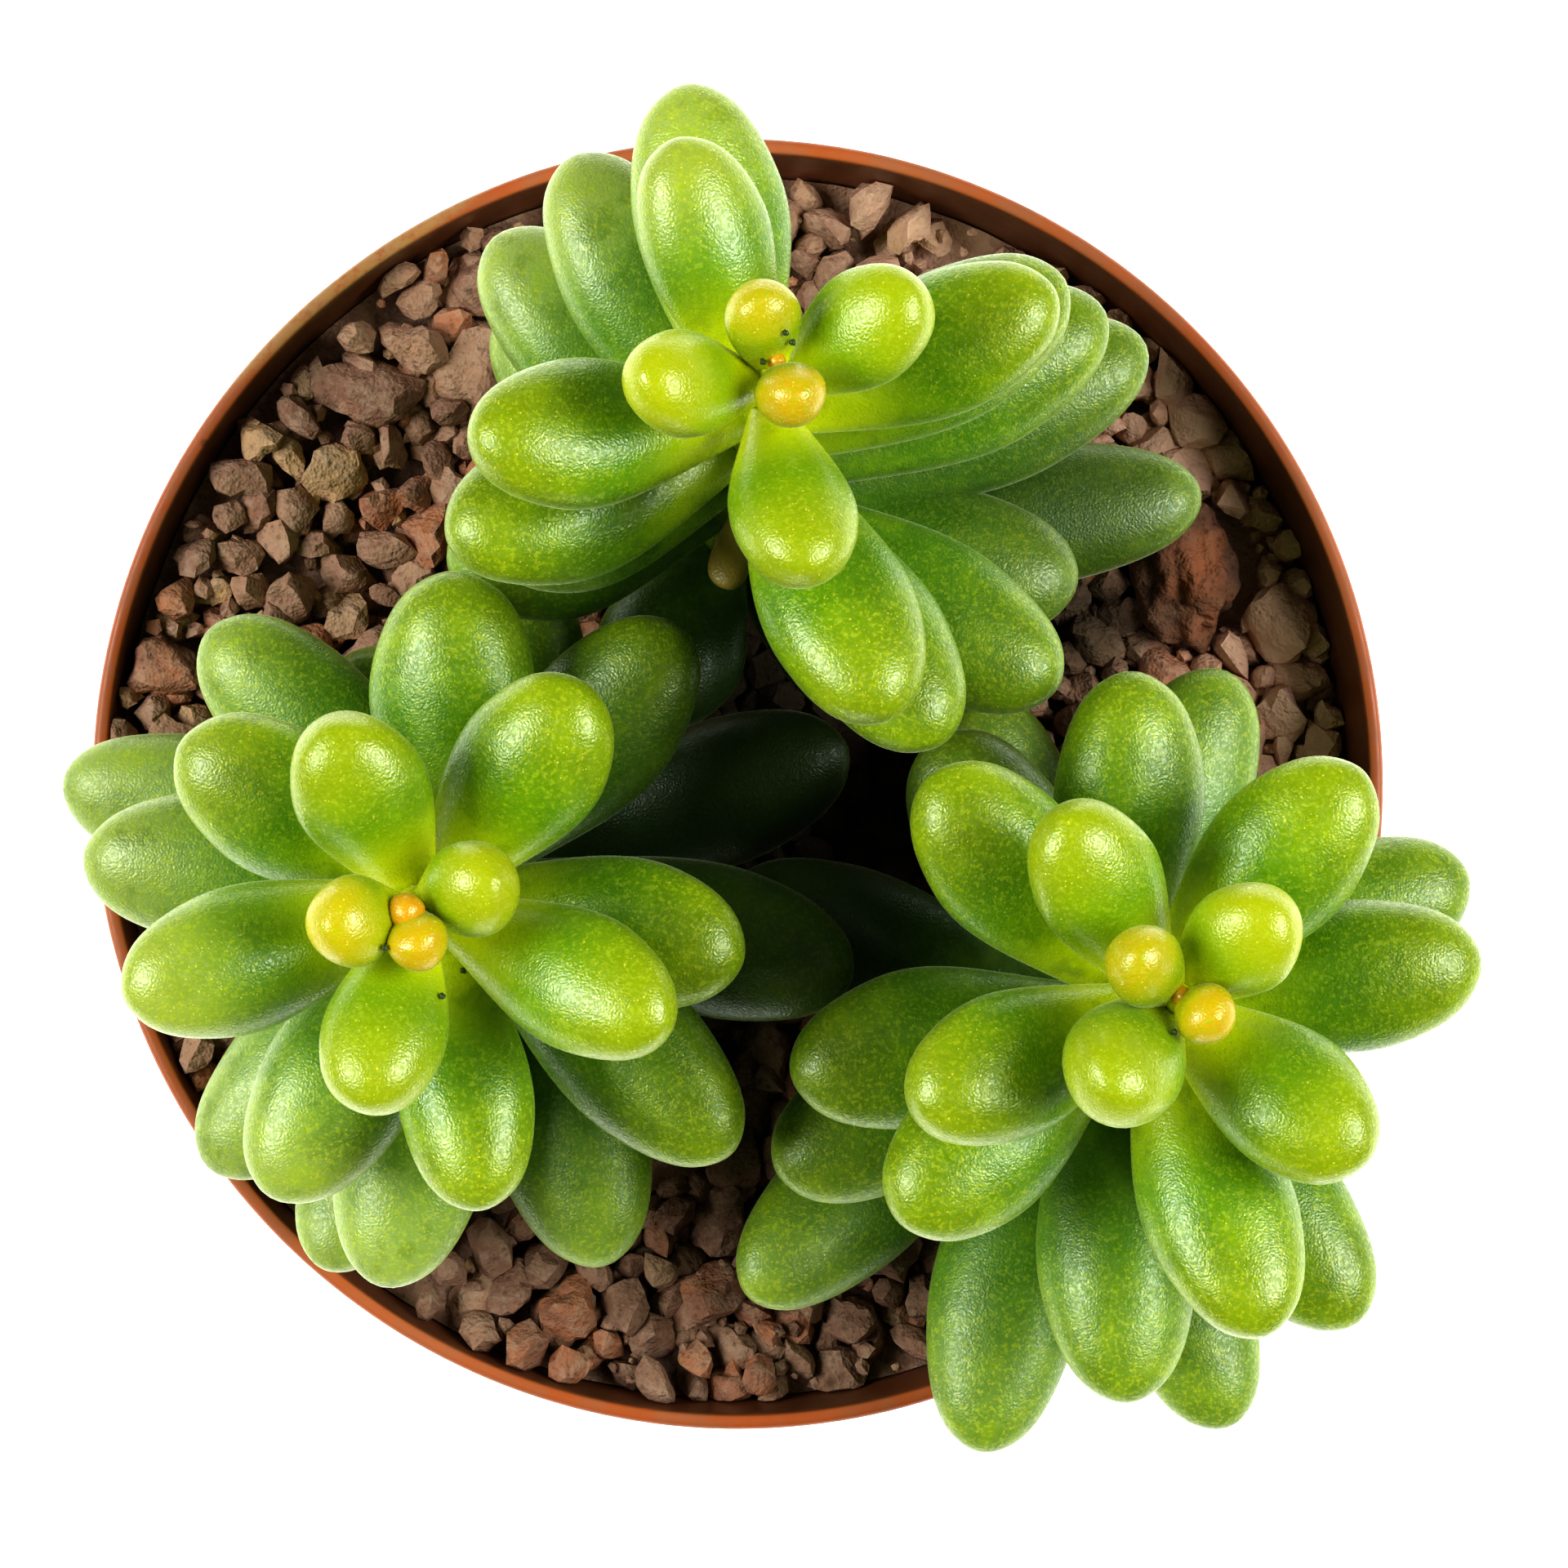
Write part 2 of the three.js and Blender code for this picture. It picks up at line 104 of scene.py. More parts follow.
@dataclass
class Skin:
    """Closed surfaces gathered for one mesh: points in millimetres, faces, and values per point.

    Attributes:
        points: one array of points for each surface.
        faces: the faces of all surfaces, as lists of point numbers.
        values: for each name, one array for each surface with a value per point.
    """

    points: list[np.ndarray] = field(default_factory=list)
    faces: list[list[int]] = field(default_factory=list)
    values: dict[str, list[np.ndarray]] = field(default_factory=dict)

    def add(self, points: np.ndarray, faces: Sequence[np.ndarray], **values: np.ndarray | float) -> None:
        """Adds a closed surface.

        Args:
            points: its points, as rows of x, y, z.
            faces: arrays of its faces, one array for each number of corners, facing outwards.
            **values: named values, one per point or one for all points.
        """
        start = sum(len(p) for p in self.points)
        self.points.append(points)
        for block in faces:
            self.faces += (block + start).tolist()
        for name, value in values.items():
            self.values.setdefault(name, []).append(np.broadcast_to(value, len(points)))

    def build(self, name: str, material: bpy.types.Material,
              sharp: float | None = None) -> bpy.types.Object:
        """Makes the mesh and its object, which sits at the origin.

        Args:
            name: the object's name.
            material: its only material.
            sharp: the angle in degrees past which an edge is left sharp, or None for none.

        Returns:
            The new object.
        """
        mesh = bpy.data.meshes.new(name)
        mesh.from_pydata((np.concatenate(self.points) * METRES).tolist(), [], self.faces)
        for label, arrays in self.values.items():
            layer = mesh.attributes.new(label, "FLOAT", "POINT")
            layer.data.foreach_set("value", np.concatenate(arrays).astype(np.float32))
        mesh.polygons.foreach_set("use_smooth", np.ones(len(mesh.polygons), bool))
        if sharp is not None:
            mesh.set_sharp_from_angle(angle=math.radians(sharp))
        mesh.materials.append(material)
        mesh.update()
        return new_object(name, mesh)


def capped_faces(rings: int, columns: int) -> list[np.ndarray]:
    """Faces of a closed skin: a first pole, some rings of points, and a last pole.

    Args:
        rings: how many rings lie between the poles.
        columns: how many points each ring has.

    Returns:
        Quadrilaterals between the rings and triangles at the poles. They face outwards where the
        rings turn anticlockwise round the way from the first pole to the last.
    """
    ring = np.arange(columns)
    after = (ring + 1) % columns
    start = 1 + columns * np.arange(rings - 1)[:, None]
    quads = np.stack([start + ring, start + after, start + columns + after, start + columns + ring], -1)
    last = 1 + columns * (rings - 1)
    end = np.full(columns, 1 + columns * rings)
    fans = np.concatenate([
        np.stack([np.zeros_like(ring), 1 + after, 1 + ring], -1),
        np.stack([last + ring, last + after, end], -1),
    ])
    return [quads.reshape(-1, 4), fans]


def capped(grid: np.ndarray) -> np.ndarray:
    """Points or values for capped_faces, from a grid whose first and last rows have shrunk to poles."""
    middle = grid[1:-1].reshape(-1, *grid.shape[2:])
    return np.concatenate([grid[0, :1], middle, grid[-1, :1]])


def ball_template(level: int) -> tuple[np.ndarray, np.ndarray]:
    """Directions and faces of a ball of even triangles.

    Args:
        level: how often an icosahedron is split: 1 gives 20 faces, 2 gives 80 and 3 gives 320.

    Returns:
        Unit vectors, and triangles that face outwards.
    """
    ball = bmesh.new()
    bmesh.ops.create_icosphere(ball, subdivisions=level, radius=1)
    directions = unit(np.array([corner.co for corner in ball.verts]))
    faces = np.array([[corner.index for corner in face.verts] for face in ball.faces])
    ball.free()
    return directions, faces


def dress(piece: bpy.types.Object, node: str) -> None:
    """Lets a piece stand for a node of the frame and ride with the plant's body.

    Args:
        piece: the finished piece.
        node: the node that it replaces.
    """
    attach(piece, BODY)
    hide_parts(node)
    LOG.info("%s: %d faces, stands for %s", piece.name, len(piece.data.polygons), node)


# Node trees

class Graph:
    """A short way to write a node tree: each method adds a node and gives its main output."""

    def __init__(self, tree: bpy.types.NodeTree) -> None:
        """Keeps the tree that the nodes go into."""
        self.tree = tree

    def node(self, kind: str, feeds: dict | None = None, **settings: object) -> bpy.types.Node:
        """Adds a node.

        Args:
            kind: its type, without the common first word.
            feeds: for an input's name or number, a value or the output that feeds it.
            **settings: the node's own settings.

        Returns:
            The node.
        """
        made = self.tree.nodes.new("ShaderNode" + kind)
        for name, value in settings.items():
            setattr(made, name, value)
        for name, value in (feeds or {}).items():
            if isinstance(value, Socket):
                self.tree.links.new(value, made.inputs[name])
            else:
                made.inputs[name].default_value = value
        return made

    def place(self) -> Socket:
        """The object coordinates, in metres."""
        return self.node("TexCoord").outputs["Object"]

    def value(self, name: str) -> Socket:
        """A value that the mesh holds per point."""
        return self.node("Attribute", attribute_name=name).outputs["Fac"]

    def maths(self, operation: str, *terms: Socket | float) -> Socket:
        """One sum, product or other operation on values."""
        return self.node("Math", dict(enumerate(terms)), operation=operation).outputs[0]

    def times(self, first: Socket, *others: Socket | float) -> Socket:
        """The product of values."""
        for other in others:
            first = self.maths("MULTIPLY", first, other)
        return first

    def span(self, value: Socket, low: float, high: float, first: float = 0, last: float = 1) -> Socket:
        """Goes smoothly from first to last while the value goes from low to high."""
        feeds = {0: value, 1: low, 2: high, 3: first, 4: last}
        return self.node("MapRange", feeds, interpolation_type="SMOOTHSTEP").outputs[0]

    def coats(self, body: Socket | Colour, *coats: tuple[Socket, Colour]) -> Socket:
        """Lays colours over each other.

        Args:
            body: the lowest colour, or an output with one.
            *coats: for each coat its share, from 0 to 1, and its colour.

        Returns:
            The output with the mixed colour.
        """
        for share, colour in coats:
            under = body if isinstance(body, Socket) else (*body, 1)
            feeds = {0: share, 6: under, 7: (*colour, 1)}
            body = self.node("Mix", feeds, data_type="RGBA").outputs[2]
        return body

    def ramp(self, share: Socket, stops: Sequence[tuple[float, Colour]]) -> Socket:
        """Colours along a ramp.

        Args:
            share: the place on the ramp, from 0 to 1.
            stops: places and colours, in order.

        Returns:
            The output with the colour.
        """
        made = self.node("ValToRGB", {0: share})
        while len(made.color_ramp.elements) < len(stops):
            made.color_ramp.elements.new(0.5)
        for element, (at, colour) in zip(made.color_ramp.elements, stops):
            element.position = at
            element.color = (*colour, 1)
        return made.outputs[0]

    def noise(self, place: Socket, scale: Socket | float, detail: float = 3, rough: float = 0.5) -> Socket:
        """Cloudy noise from 0 to 1, scale being its waves per metre."""
        feeds = {"Vector": place, "Scale": scale, "Detail": detail, "Roughness": rough}
        return self.node("TexNoise", feeds).outputs["Fac"]

    def bump(self, height: Socket, depth: float, under: Socket | None = None) -> Socket:
        """A normal tilted by a height.

        Args:
            height: the output with the height, 1 being the full depth.
            depth: the full depth in millimetres.
            under: the normal that it adds to, if any.

        Returns:
            The output with the normal.
        """
        feeds = {"Height": height, "Distance": depth * METRES}
        if under is not None:
            feeds["Normal"] = under
        return self.node("Bump", feeds).outputs[0]

    def effect(self, tree: bpy.types.NodeTree, **feeds: Socket | float) -> dict[str, Socket]:
        """Places one of the shared effects with its own values and gives its outputs by name."""
        made = self.node("Group", feeds, node_tree=tree)
        return {output.name: output for output in made.outputs}


def new_effect(name: str, numbers: Sequence[str],
               outputs: Sequence[str]) -> tuple[Graph, dict[str, Socket]]:
    """Starts a shared effect: a node group with a place, some numbers, and values that it puts out.

    Args:
        name: the group's name.
        numbers: the names of its number inputs.
        outputs: the names of its outputs.

    Returns:
        Its graph, and its inputs by name.
    """
    tree = bpy.data.node_groups.new(name, "ShaderNodeTree")
    tree.interface.new_socket(name="Place", in_out="INPUT", socket_type="NodeSocketVector")
    for number in numbers:
        tree.interface.new_socket(name=number, in_out="INPUT", socket_type="NodeSocketFloat")
    for output in outputs:
        tree.interface.new_socket(name=output, in_out="OUTPUT", socket_type="NodeSocketFloat")
    entry = tree.nodes.new("NodeGroupInput")
    return Graph(tree), {socket.name: socket for socket in entry.outputs if socket.name}


def end_effect(graph: Graph, **outputs: Socket) -> bpy.types.NodeTree:
    """Feeds a shared effect's outputs and gives its tree."""
    way_out = graph.tree.nodes.new("NodeGroupOutput")
    for name, socket in outputs.items():
        graph.tree.links.new(socket, way_out.inputs[name])
    return graph.tree


class Effects:
    """The shared effects, each built once: pores, specks and dust."""

    def __init__(self) -> None:
        """Builds the node groups."""
        self.pores = self._pores()
        self.specks = self._specks()
        self.dust = self._dust()

    @staticmethod
    def _pores() -> bpy.types.NodeTree:
        """A skin of small rounded cells: Height is each cell's dome and Tone its own grey."""
        graph, entry = new_effect("pores", ["Scale"], ["Height", "Tone"])
        cells = graph.node("TexVoronoi", {"Vector": entry["Place"], "Scale": entry["Scale"]})
        height = graph.maths("SUBTRACT", 1, cells.outputs["Distance"])
        tone = graph.node("SeparateColor", {0: cells.outputs["Color"]}).outputs[0]
        return end_effect(graph, Height=height, Tone=tone)

    @staticmethod
    def _specks() -> bpy.types.NodeTree:
        """Small separate dots: a cell's core shows where its own draw is under the share, its Tone."""
        graph, entry = new_effect("specks", ["Scale", "Share", "Size"], ["Mask", "Tone"])
        cells = graph.node("TexVoronoi", {"Vector": entry["Place"], "Scale": entry["Scale"]})
        draw = graph.node("SeparateColor", {0: cells.outputs["Color"]}).outputs
        chosen = graph.maths("LESS_THAN", draw[0], entry["Share"])
        reach = graph.times(entry["Size"], graph.maths("ADD", draw[1], 0.35))
        inside = graph.maths("DIVIDE", cells.outputs["Distance"], reach)
        core = graph.span(inside, 0.5, 1, 1, 0)
        return end_effect(graph, Mask=graph.times(chosen, core), Tone=draw[0])

    @staticmethod
    def _dust() -> bpy.types.NodeTree:
        """Dust in clouds: more of it on faces that look up."""
        graph, entry = new_effect("dust", ["Scale", "Amount"], ["Mask"])
        patches = graph.span(graph.noise(entry["Place"], entry["Scale"], 5, 0.65), 0.38, 0.68)
        up = graph.node("SeparateXYZ", {0: graph.node("NewGeometry").outputs["Normal"]}).outputs[2]
        settled = graph.span(up, -0.4, 0.9, 0.35, 1)
        return end_effect(graph, Mask=graph.times(patches, settled, entry["Amount"]))


# Finishes

Constants = dict[str, float | Sequence[float]]
Paint = tuple[Socket, Socket, Socket]


@dataclass(frozen=True)
class Finish(ABC):
    """What every finish has: a name for its material and the effects that it draws on."""

    name: str
    effects: Effects

    @abstractmethod
    def constants(self) -> Constants:
        """The shader's constant values, by the names of its own sockets."""

    @abstractmethod
    def paint(self, graph: Graph, place: Socket) -> Paint:
        """Adds the nodes.

        Args:
            graph: the material's graph.
            place: its object coordinates.

        Returns:
            The outputs with the colour, the roughness and the normal.
        """

    def make(self) -> bpy.types.Material:
        """Builds the material, on one shader."""
        material = bpy.data.materials.new(self.name)
        material.use_nodes = True
        shader = material.node_tree.nodes["Principled BSDF"].inputs
        for name, value in self.constants().items():
            shader[name].default_value = value
        graph = Graph(material.node_tree)
        for name, output in zip(("Base Color", "Roughness", "Normal"), self.paint(graph, graph.place())):
            graph.tree.links.new(output, shader[name])
        return material


@dataclass(frozen=True)
class LeafSkin(Finish):
    """Mottled satin skin of a plump leaf, with waxy pale spots and golden flecks.

    Each leaf holds age, 0 for the bud and 1 for the oldest leaf, along, 0 at its root and 1 at its
    tip, deep, 1 in the shade between the stems and down to -1.5 out in the sun, from which the skin
    paints shade and sunlight into its colour, and tone, a draw of its own, or 2 for a shrivelled leaf.

    Attributes:
        ages: colours of a leaf's middle by age.
        own: green towards which a leaf's own draw takes it.
        heart_glow: yellow that a young leaf's root takes from the crown, made brighter as a painted
        glow of light shining through the flesh.
        heart_reach: how far along the leaf that colour goes.
        painted_sunlight: painted light, the paler colour laid where the leaf gets the most light.
        light, dark: colours of the mottles.
        belt: green across the leaf's middle.
        tip: pale colour of its end.
        blush: colour of the youngest tips.
        bloom: pale colour of the waxy spots.
        fleck: colour of the tiny golden flecks near the tip.
        dry: colour of a shrivelled leaf.
        shade: painted shade, the dark colour laid where the leaf lies in shade.
        sheen: weight of the pale waxy rim.
    """

    ages: tuple[tuple[float, Colour], ...] = (
        (0.000, (0.80, 0.30, 0.008)),
        (0.036, (0.66, 0.56, 0.002)),
        (0.072, (0.52, 0.58, 0.001)),
        (0.108, (0.39, 0.53, 0.001)),
        (0.143, (0.305, 0.45, 0.001)),
        (0.180, (0.245, 0.39, 0.001)),
        (0.250, (0.165, 0.32, 0.001)),
        (0.400, (0.138, 0.28, 0.002)),
        (0.500, (0.132, 0.272, 0.008)),
        (0.700, (0.128, 0.272, 0.026)),
        (1.000, (0.128, 0.272, 0.038)),
    )
    own: Colour = (0.10, 0.24, 0.010)
    heart_glow: Colour = (0.85, 0.90, 0.001)
    heart_reach: float = 0.62
    painted_sunlight: Colour = (0.38, 0.52, 0.17)
    light: Colour = (0.33, 0.50, 0.006)
    dark: Colour = (0.075, 0.19, 0.002)
    belt: Colour = (0.09, 0.24, 0.002)
    tip: Colour = (0.46, 0.52, 0.004)
    blush: Colour = (0.80, 0.30, 0.005)
    bloom: Colour = (0.48, 0.60, 0.03)
    fleck: Colour = (0.85, 0.80, 0.20)
    dry: Colour = (0.42, 0.31, 0.06)
    shade: Colour = (0.020, 0.042, 0.010)
    sheen: float = 0.42

    def constants(self) -> Constants:
        """A waxy sheen and greenish highlights."""
        return {
            "Sheen Weight": self.sheen, "Sheen Roughness": 0.3, "Sheen Tint": (0.82, 0.95, 0.60, 1),
            "IOR": 1.5, "Specular IOR Level": 0.8, "Specular Tint": (0.90, 0.98, 0.90, 1),
        }

    def paint(self, graph: Graph, place: Socket) -> Paint:
        """Coats from the leaf's green up to its flecks, dry colour and painted shade, with a satin gloss
        over a fine grain.
        """
        age, along, tone, deep = (graph.value(name) for name in ("age", "along", "tone", "deep"))
        patches = graph.noise(place, 520, 2, 0.6)
        grain = graph.noise(place, 4200, 1, 0.7)
        young, root = graph.span(age, 0.12, 0.62, 1, 0), graph.span(along, 0.05, self.heart_reach, 1, 0)
        dark = graph.times(graph.span(patches, 0.34, 0.50, 0.45, 0), graph.span(age, 0.10, 0.36))
        belt = graph.times(graph.span(along, 0.3, 0.55), graph.span(along, 0.55, 0.85, 0.35, 0))
        tip = graph.span(along, 0.55, 0.98)
        youngest, spotty = graph.span(age, 0.03, 0.13, 0.6, 0.06), graph.span(grain, 0.2, 0.7)
        waxy = graph.times(graph.span(grain, 0.48, 0.72), graph.span(along, 0.2, 0.9, 0.15, 0.48))
        specks = graph.effect(self.effects.specks, Place=place, Scale=6500.0, Share=0.15, Size=0.36)
        near_tip, in_youth = graph.span(along, 0.25, 0.9, 0.08, 0.7), graph.span(age, 0.2, 0.6, 1, 0.3)
        body = graph.coats(
            graph.ramp(age, self.ages),
            (graph.span(tone, 0, 1, 0, 0.28), self.own),
            # yellow root of a young leaf, partly a painted glow of light through the flesh
            (graph.times(young, root), self.heart_glow),
            # painted light on leaves that reach out into the light
            (graph.span(deep, -1.5, 0, 0.85, 0), self.painted_sunlight),
            (graph.span(patches, 0.46, 0.72, 0, 0.35), self.light),
            (dark, self.dark),
            (belt, self.belt),
            (graph.times(tip, graph.span(age, 0.15, 0.6, 0.35, 0.12)), self.tip),
            (graph.times(tip, youngest, spotty), self.blush),
            (waxy, self.bloom),
            (graph.times(near_tip, in_youth, specks["Mask"]), self.fleck),
            (graph.span(tone, 1.2, 1.8), self.dry),
            # painted shade where deep says the leaf lies in shade
            (graph.span(deep, 0, 1, 0, 0.9), self.shade),
        )
        satin, aged = graph.span(specks["Tone"], 0, 1, 0.20, 0.41), graph.span(age, 0.2, 0.9, 0, 0.12)
        height = graph.maths("ADD", graph.noise(place, 8000, 0), graph.times(patches, 0.5))
        return body, graph.maths("ADD", satin, aged), graph.bump(height, 0.026)


@dataclass(frozen=True)
class PotPlastic(Finish):
    """Satin terracotta-coloured plastic, dusty inside, darker over the inner wall, and with a faint
    moulding grain.

    Attributes:
        colour: the clean plastic.
        faded: the plastic where it has paled in the sun.
        dirt: grey-brown dust of the grit.
        inner_wall_dark: dark olive-brown laid over the inner wall, from just inside the lip down.
        crust: khaki crust on one stretch of the lip.
        crusted: direction from the axis in which that stretch lies.
        crust_out: how far out that way it starts and is full, in metres.
        crust_up: the heights at which it starts and is full, in metres.
        spot: colour of the few dark specks.
    """

    colour: Colour = (0.42, 0.11, 0.026)
    faded: Colour = (0.46, 0.14, 0.042)
    dirt: Colour = (0.26, 0.15, 0.08)
    inner_wall_dark: Colour = (0.068, 0.050, 0.032)
    crust: Colour = (0.44, 0.28, 0.11)
    crusted: Triple = (-0.616, 0.788, 0.0)
    crust_out: tuple[float, float] = (0.0334, 0.0342)
    crust_up: tuple[float, float] = (0.0608, 0.0616)
    spot: Colour = (0.10, 0.06, 0.04)

    def constants(self) -> Constants:
        """The gloss of plain plastic."""
        return {"IOR": 1.48}

    def paint(self, graph: Graph, place: Socket) -> Paint:
        """Mottled plastic under dust, the crust, the darker inner wall and specks, with a faint grain."""
        cloud = graph.noise(place, 60, 5, 0.6)
        grain = graph.noise(place, 2200, 2, 0.6)
        dust = graph.effect(self.effects.dust, Place=place, Scale=340.0, Amount=0.35)["Mask"]
        dotted = graph.node("VectorMath", {0: place, 1: self.crusted}, operation="DOT_PRODUCT")
        out = graph.span(dotted.outputs["Value"], *self.crust_out)
        up = graph.span(graph.node("SeparateXYZ", {0: place}).outputs[2], *self.crust_up)
        inner_darkening = graph.span(graph.noise(place, 150, 4), 0.3, 0.6, 0.8, 0.97)
        specks = graph.effect(self.effects.specks, Place=place, Scale=900.0, Share=0.08, Size=0.28)["Mask"]
        body = graph.coats(
            self.colour,
            (graph.span(cloud, 0.35, 0.7), self.faded),
            (graph.span(grain, 0.35, 0.75, 0, 0.22), self.faded),
            (dust, self.dirt),
            (graph.times(out, up, graph.span(grain, 0.2, 0.6, 0.2, 0.8)), self.crust),
            # the inner wall is made a dark olive-brown, from just inside the lip down
            (graph.times(graph.value("inner"), inner_darkening), self.inner_wall_dark),
            (graph.times(specks, 0.6), self.spot),
        )
        rough = graph.maths("ADD", graph.span(cloud, 0.3, 0.7, 0.34, 0.46), graph.times(dust, 0.5))
        return body, rough, graph.bump(grain, 0.01, graph.bump(graph.noise(place, 700, 3), 0.02))


@dataclass(frozen=True)
class LavaRock(Finish):
    """Rough porous lava, each grain with a draw of its own, kind, that picks its colour.

    Attributes:
        colours: grain colours by that draw, from rust over dark mauve to brown and khaki.
        dust: pale colour of the worn edges and the dust.
        pit: painted shade, the dark colour of pores that the surface itself doesn't have.
        painted_shade_colour: painted shade, the dark colour laid where the grit lies in shade.
        dry: painted light, the pale colour laid on the grit at the far right.
    """

    colours: tuple[tuple[float, Colour], ...] = (
        (0.00, (0.480, 0.220, 0.115)),
        (0.12, (0.390, 0.195, 0.122)),
        (0.20, (0.260, 0.146, 0.098)),
        (0.45, (0.370, 0.222, 0.150)),
        (0.75, (0.470, 0.292, 0.190)),
        (0.90, (0.510, 0.345, 0.210)),
        (1.00, (0.600, 0.390, 0.210)),
    )
    dust: Colour = (0.53, 0.40, 0.29)
    pit: Colour = (0.110, 0.070, 0.048)
    painted_shade_colour: Colour = (0.030, 0.028, 0.014)
    dry: Colour = (0.72, 0.48, 0.35)

    def constants(self) -> Constants:
        """A dull stone."""
        return {"Specular IOR Level": 0.25}

    def paint(self, graph: Graph, place: Socket) -> Paint:
        """The grain's own colour under dust, the painted shade of pores, painted shade and painted light,
        on a rough surface.
        """
        cloud = graph.noise(place, 800, 3, 0.7)
        grain = graph.noise(place, 3400, 2, 0.7)
        drift = graph.span(graph.noise(place, 330, 2), 0.35, 0.65, -0.08, 0.08)
        holes = graph.effect(self.effects.specks, Place=place, Scale=2600.0, Share=0.5, Size=0.45)["Mask"]
        damp = graph.value("damp")
        body = graph.coats(
            graph.ramp(graph.maths("ADD", graph.value("kind"), drift), self.colours),
            (graph.span(cloud, 0.40, 0.70, 0, 0.45), self.dust),
            (graph.span(grain, 0.52, 0.75, 0, 0.35), self.dust),
            # painted shade of pores, which the bump doesn't carve
            (graph.times(holes, 0.4), self.pit),
            # painted light at the far right
            (graph.span(damp, -1.5, 0, 0.95, 0), self.dry),
            # painted shade between the stems, beside the stone and at the bottom of the picture
            (graph.span(damp, 0, 1, 0, 0.9), self.painted_shade_colour),
        )
        height = graph.maths("ADD", graph.times(cloud, 8), grain)
        return body, graph.span(grain, 0.3, 0.7, 0.82, 1.0), graph.bump(height, 0.06)


@dataclass(frozen=True)
class Bark(Finish):
    """Dry tan bark of an old stem, with dark cracks and some dust."""

    light: Colour = (0.42, 0.31, 0.18)
    dark: Colour = (0.15, 0.095, 0.05)
    dust: Colour = (0.34, 0.24, 0.17)

    def constants(self) -> Constants:
        """A dull surface."""
        return {"Specular IOR Level": 0.3}

    def paint(self, graph: Graph, place: Socket) -> Paint:
        """Fibres that run up the stem, with dust on them."""
        stretched = graph.node("Mapping", {0: place, 3: (1, 1, 0.3)}).outputs[0]
        fibres = graph.noise(stretched, 1500, 4, 0.7)
        dust = graph.effect(self.effects.dust, Place=place, Scale=500.0, Amount=0.5)["Mask"]
        body = graph.coats(self.dark, (graph.span(fibres, 0.35, 0.65), self.light), (dust, self.dust))
        return body, graph.span(fibres, 0.3, 0.7, 0.75, 0.95), graph.bump(fibres, 0.15)


@dataclass(frozen=True)
class PeatMix(Finish):
    """Dark crumbly peat with pale flecks of bark and perlite."""

    peat: Colour = (0.022, 0.013, 0.008)
    crumb: Colour = (0.085, 0.050, 0.028)
    fleck: Colour = (0.55, 0.50, 0.42)

    def constants(self) -> Constants:
        """A very dull surface."""
        return {"Specular IOR Level": 0.15}

    def paint(self, graph: Graph, place: Socket) -> Paint:
        """Crumbs of two browns with flecks between them."""
        crumbs = graph.effect(self.effects.pores, Place=place, Scale=620.0)
        flecks = graph.effect(self.effects.specks, Place=place, Scale=500.0, Share=0.10, Size=0.35)["Mask"]
        body = graph.coats(self.peat, (crumbs["Tone"], self.crumb), (flecks, self.fleck))
        grain = graph.noise(place, 2400, 4, 0.7)
        normal = graph.bump(grain, 0.25, graph.bump(crumbs["Height"], 0.8))
        return body, graph.span(grain, 0.3, 0.7, 0.85, 1.0), normal


# Pot

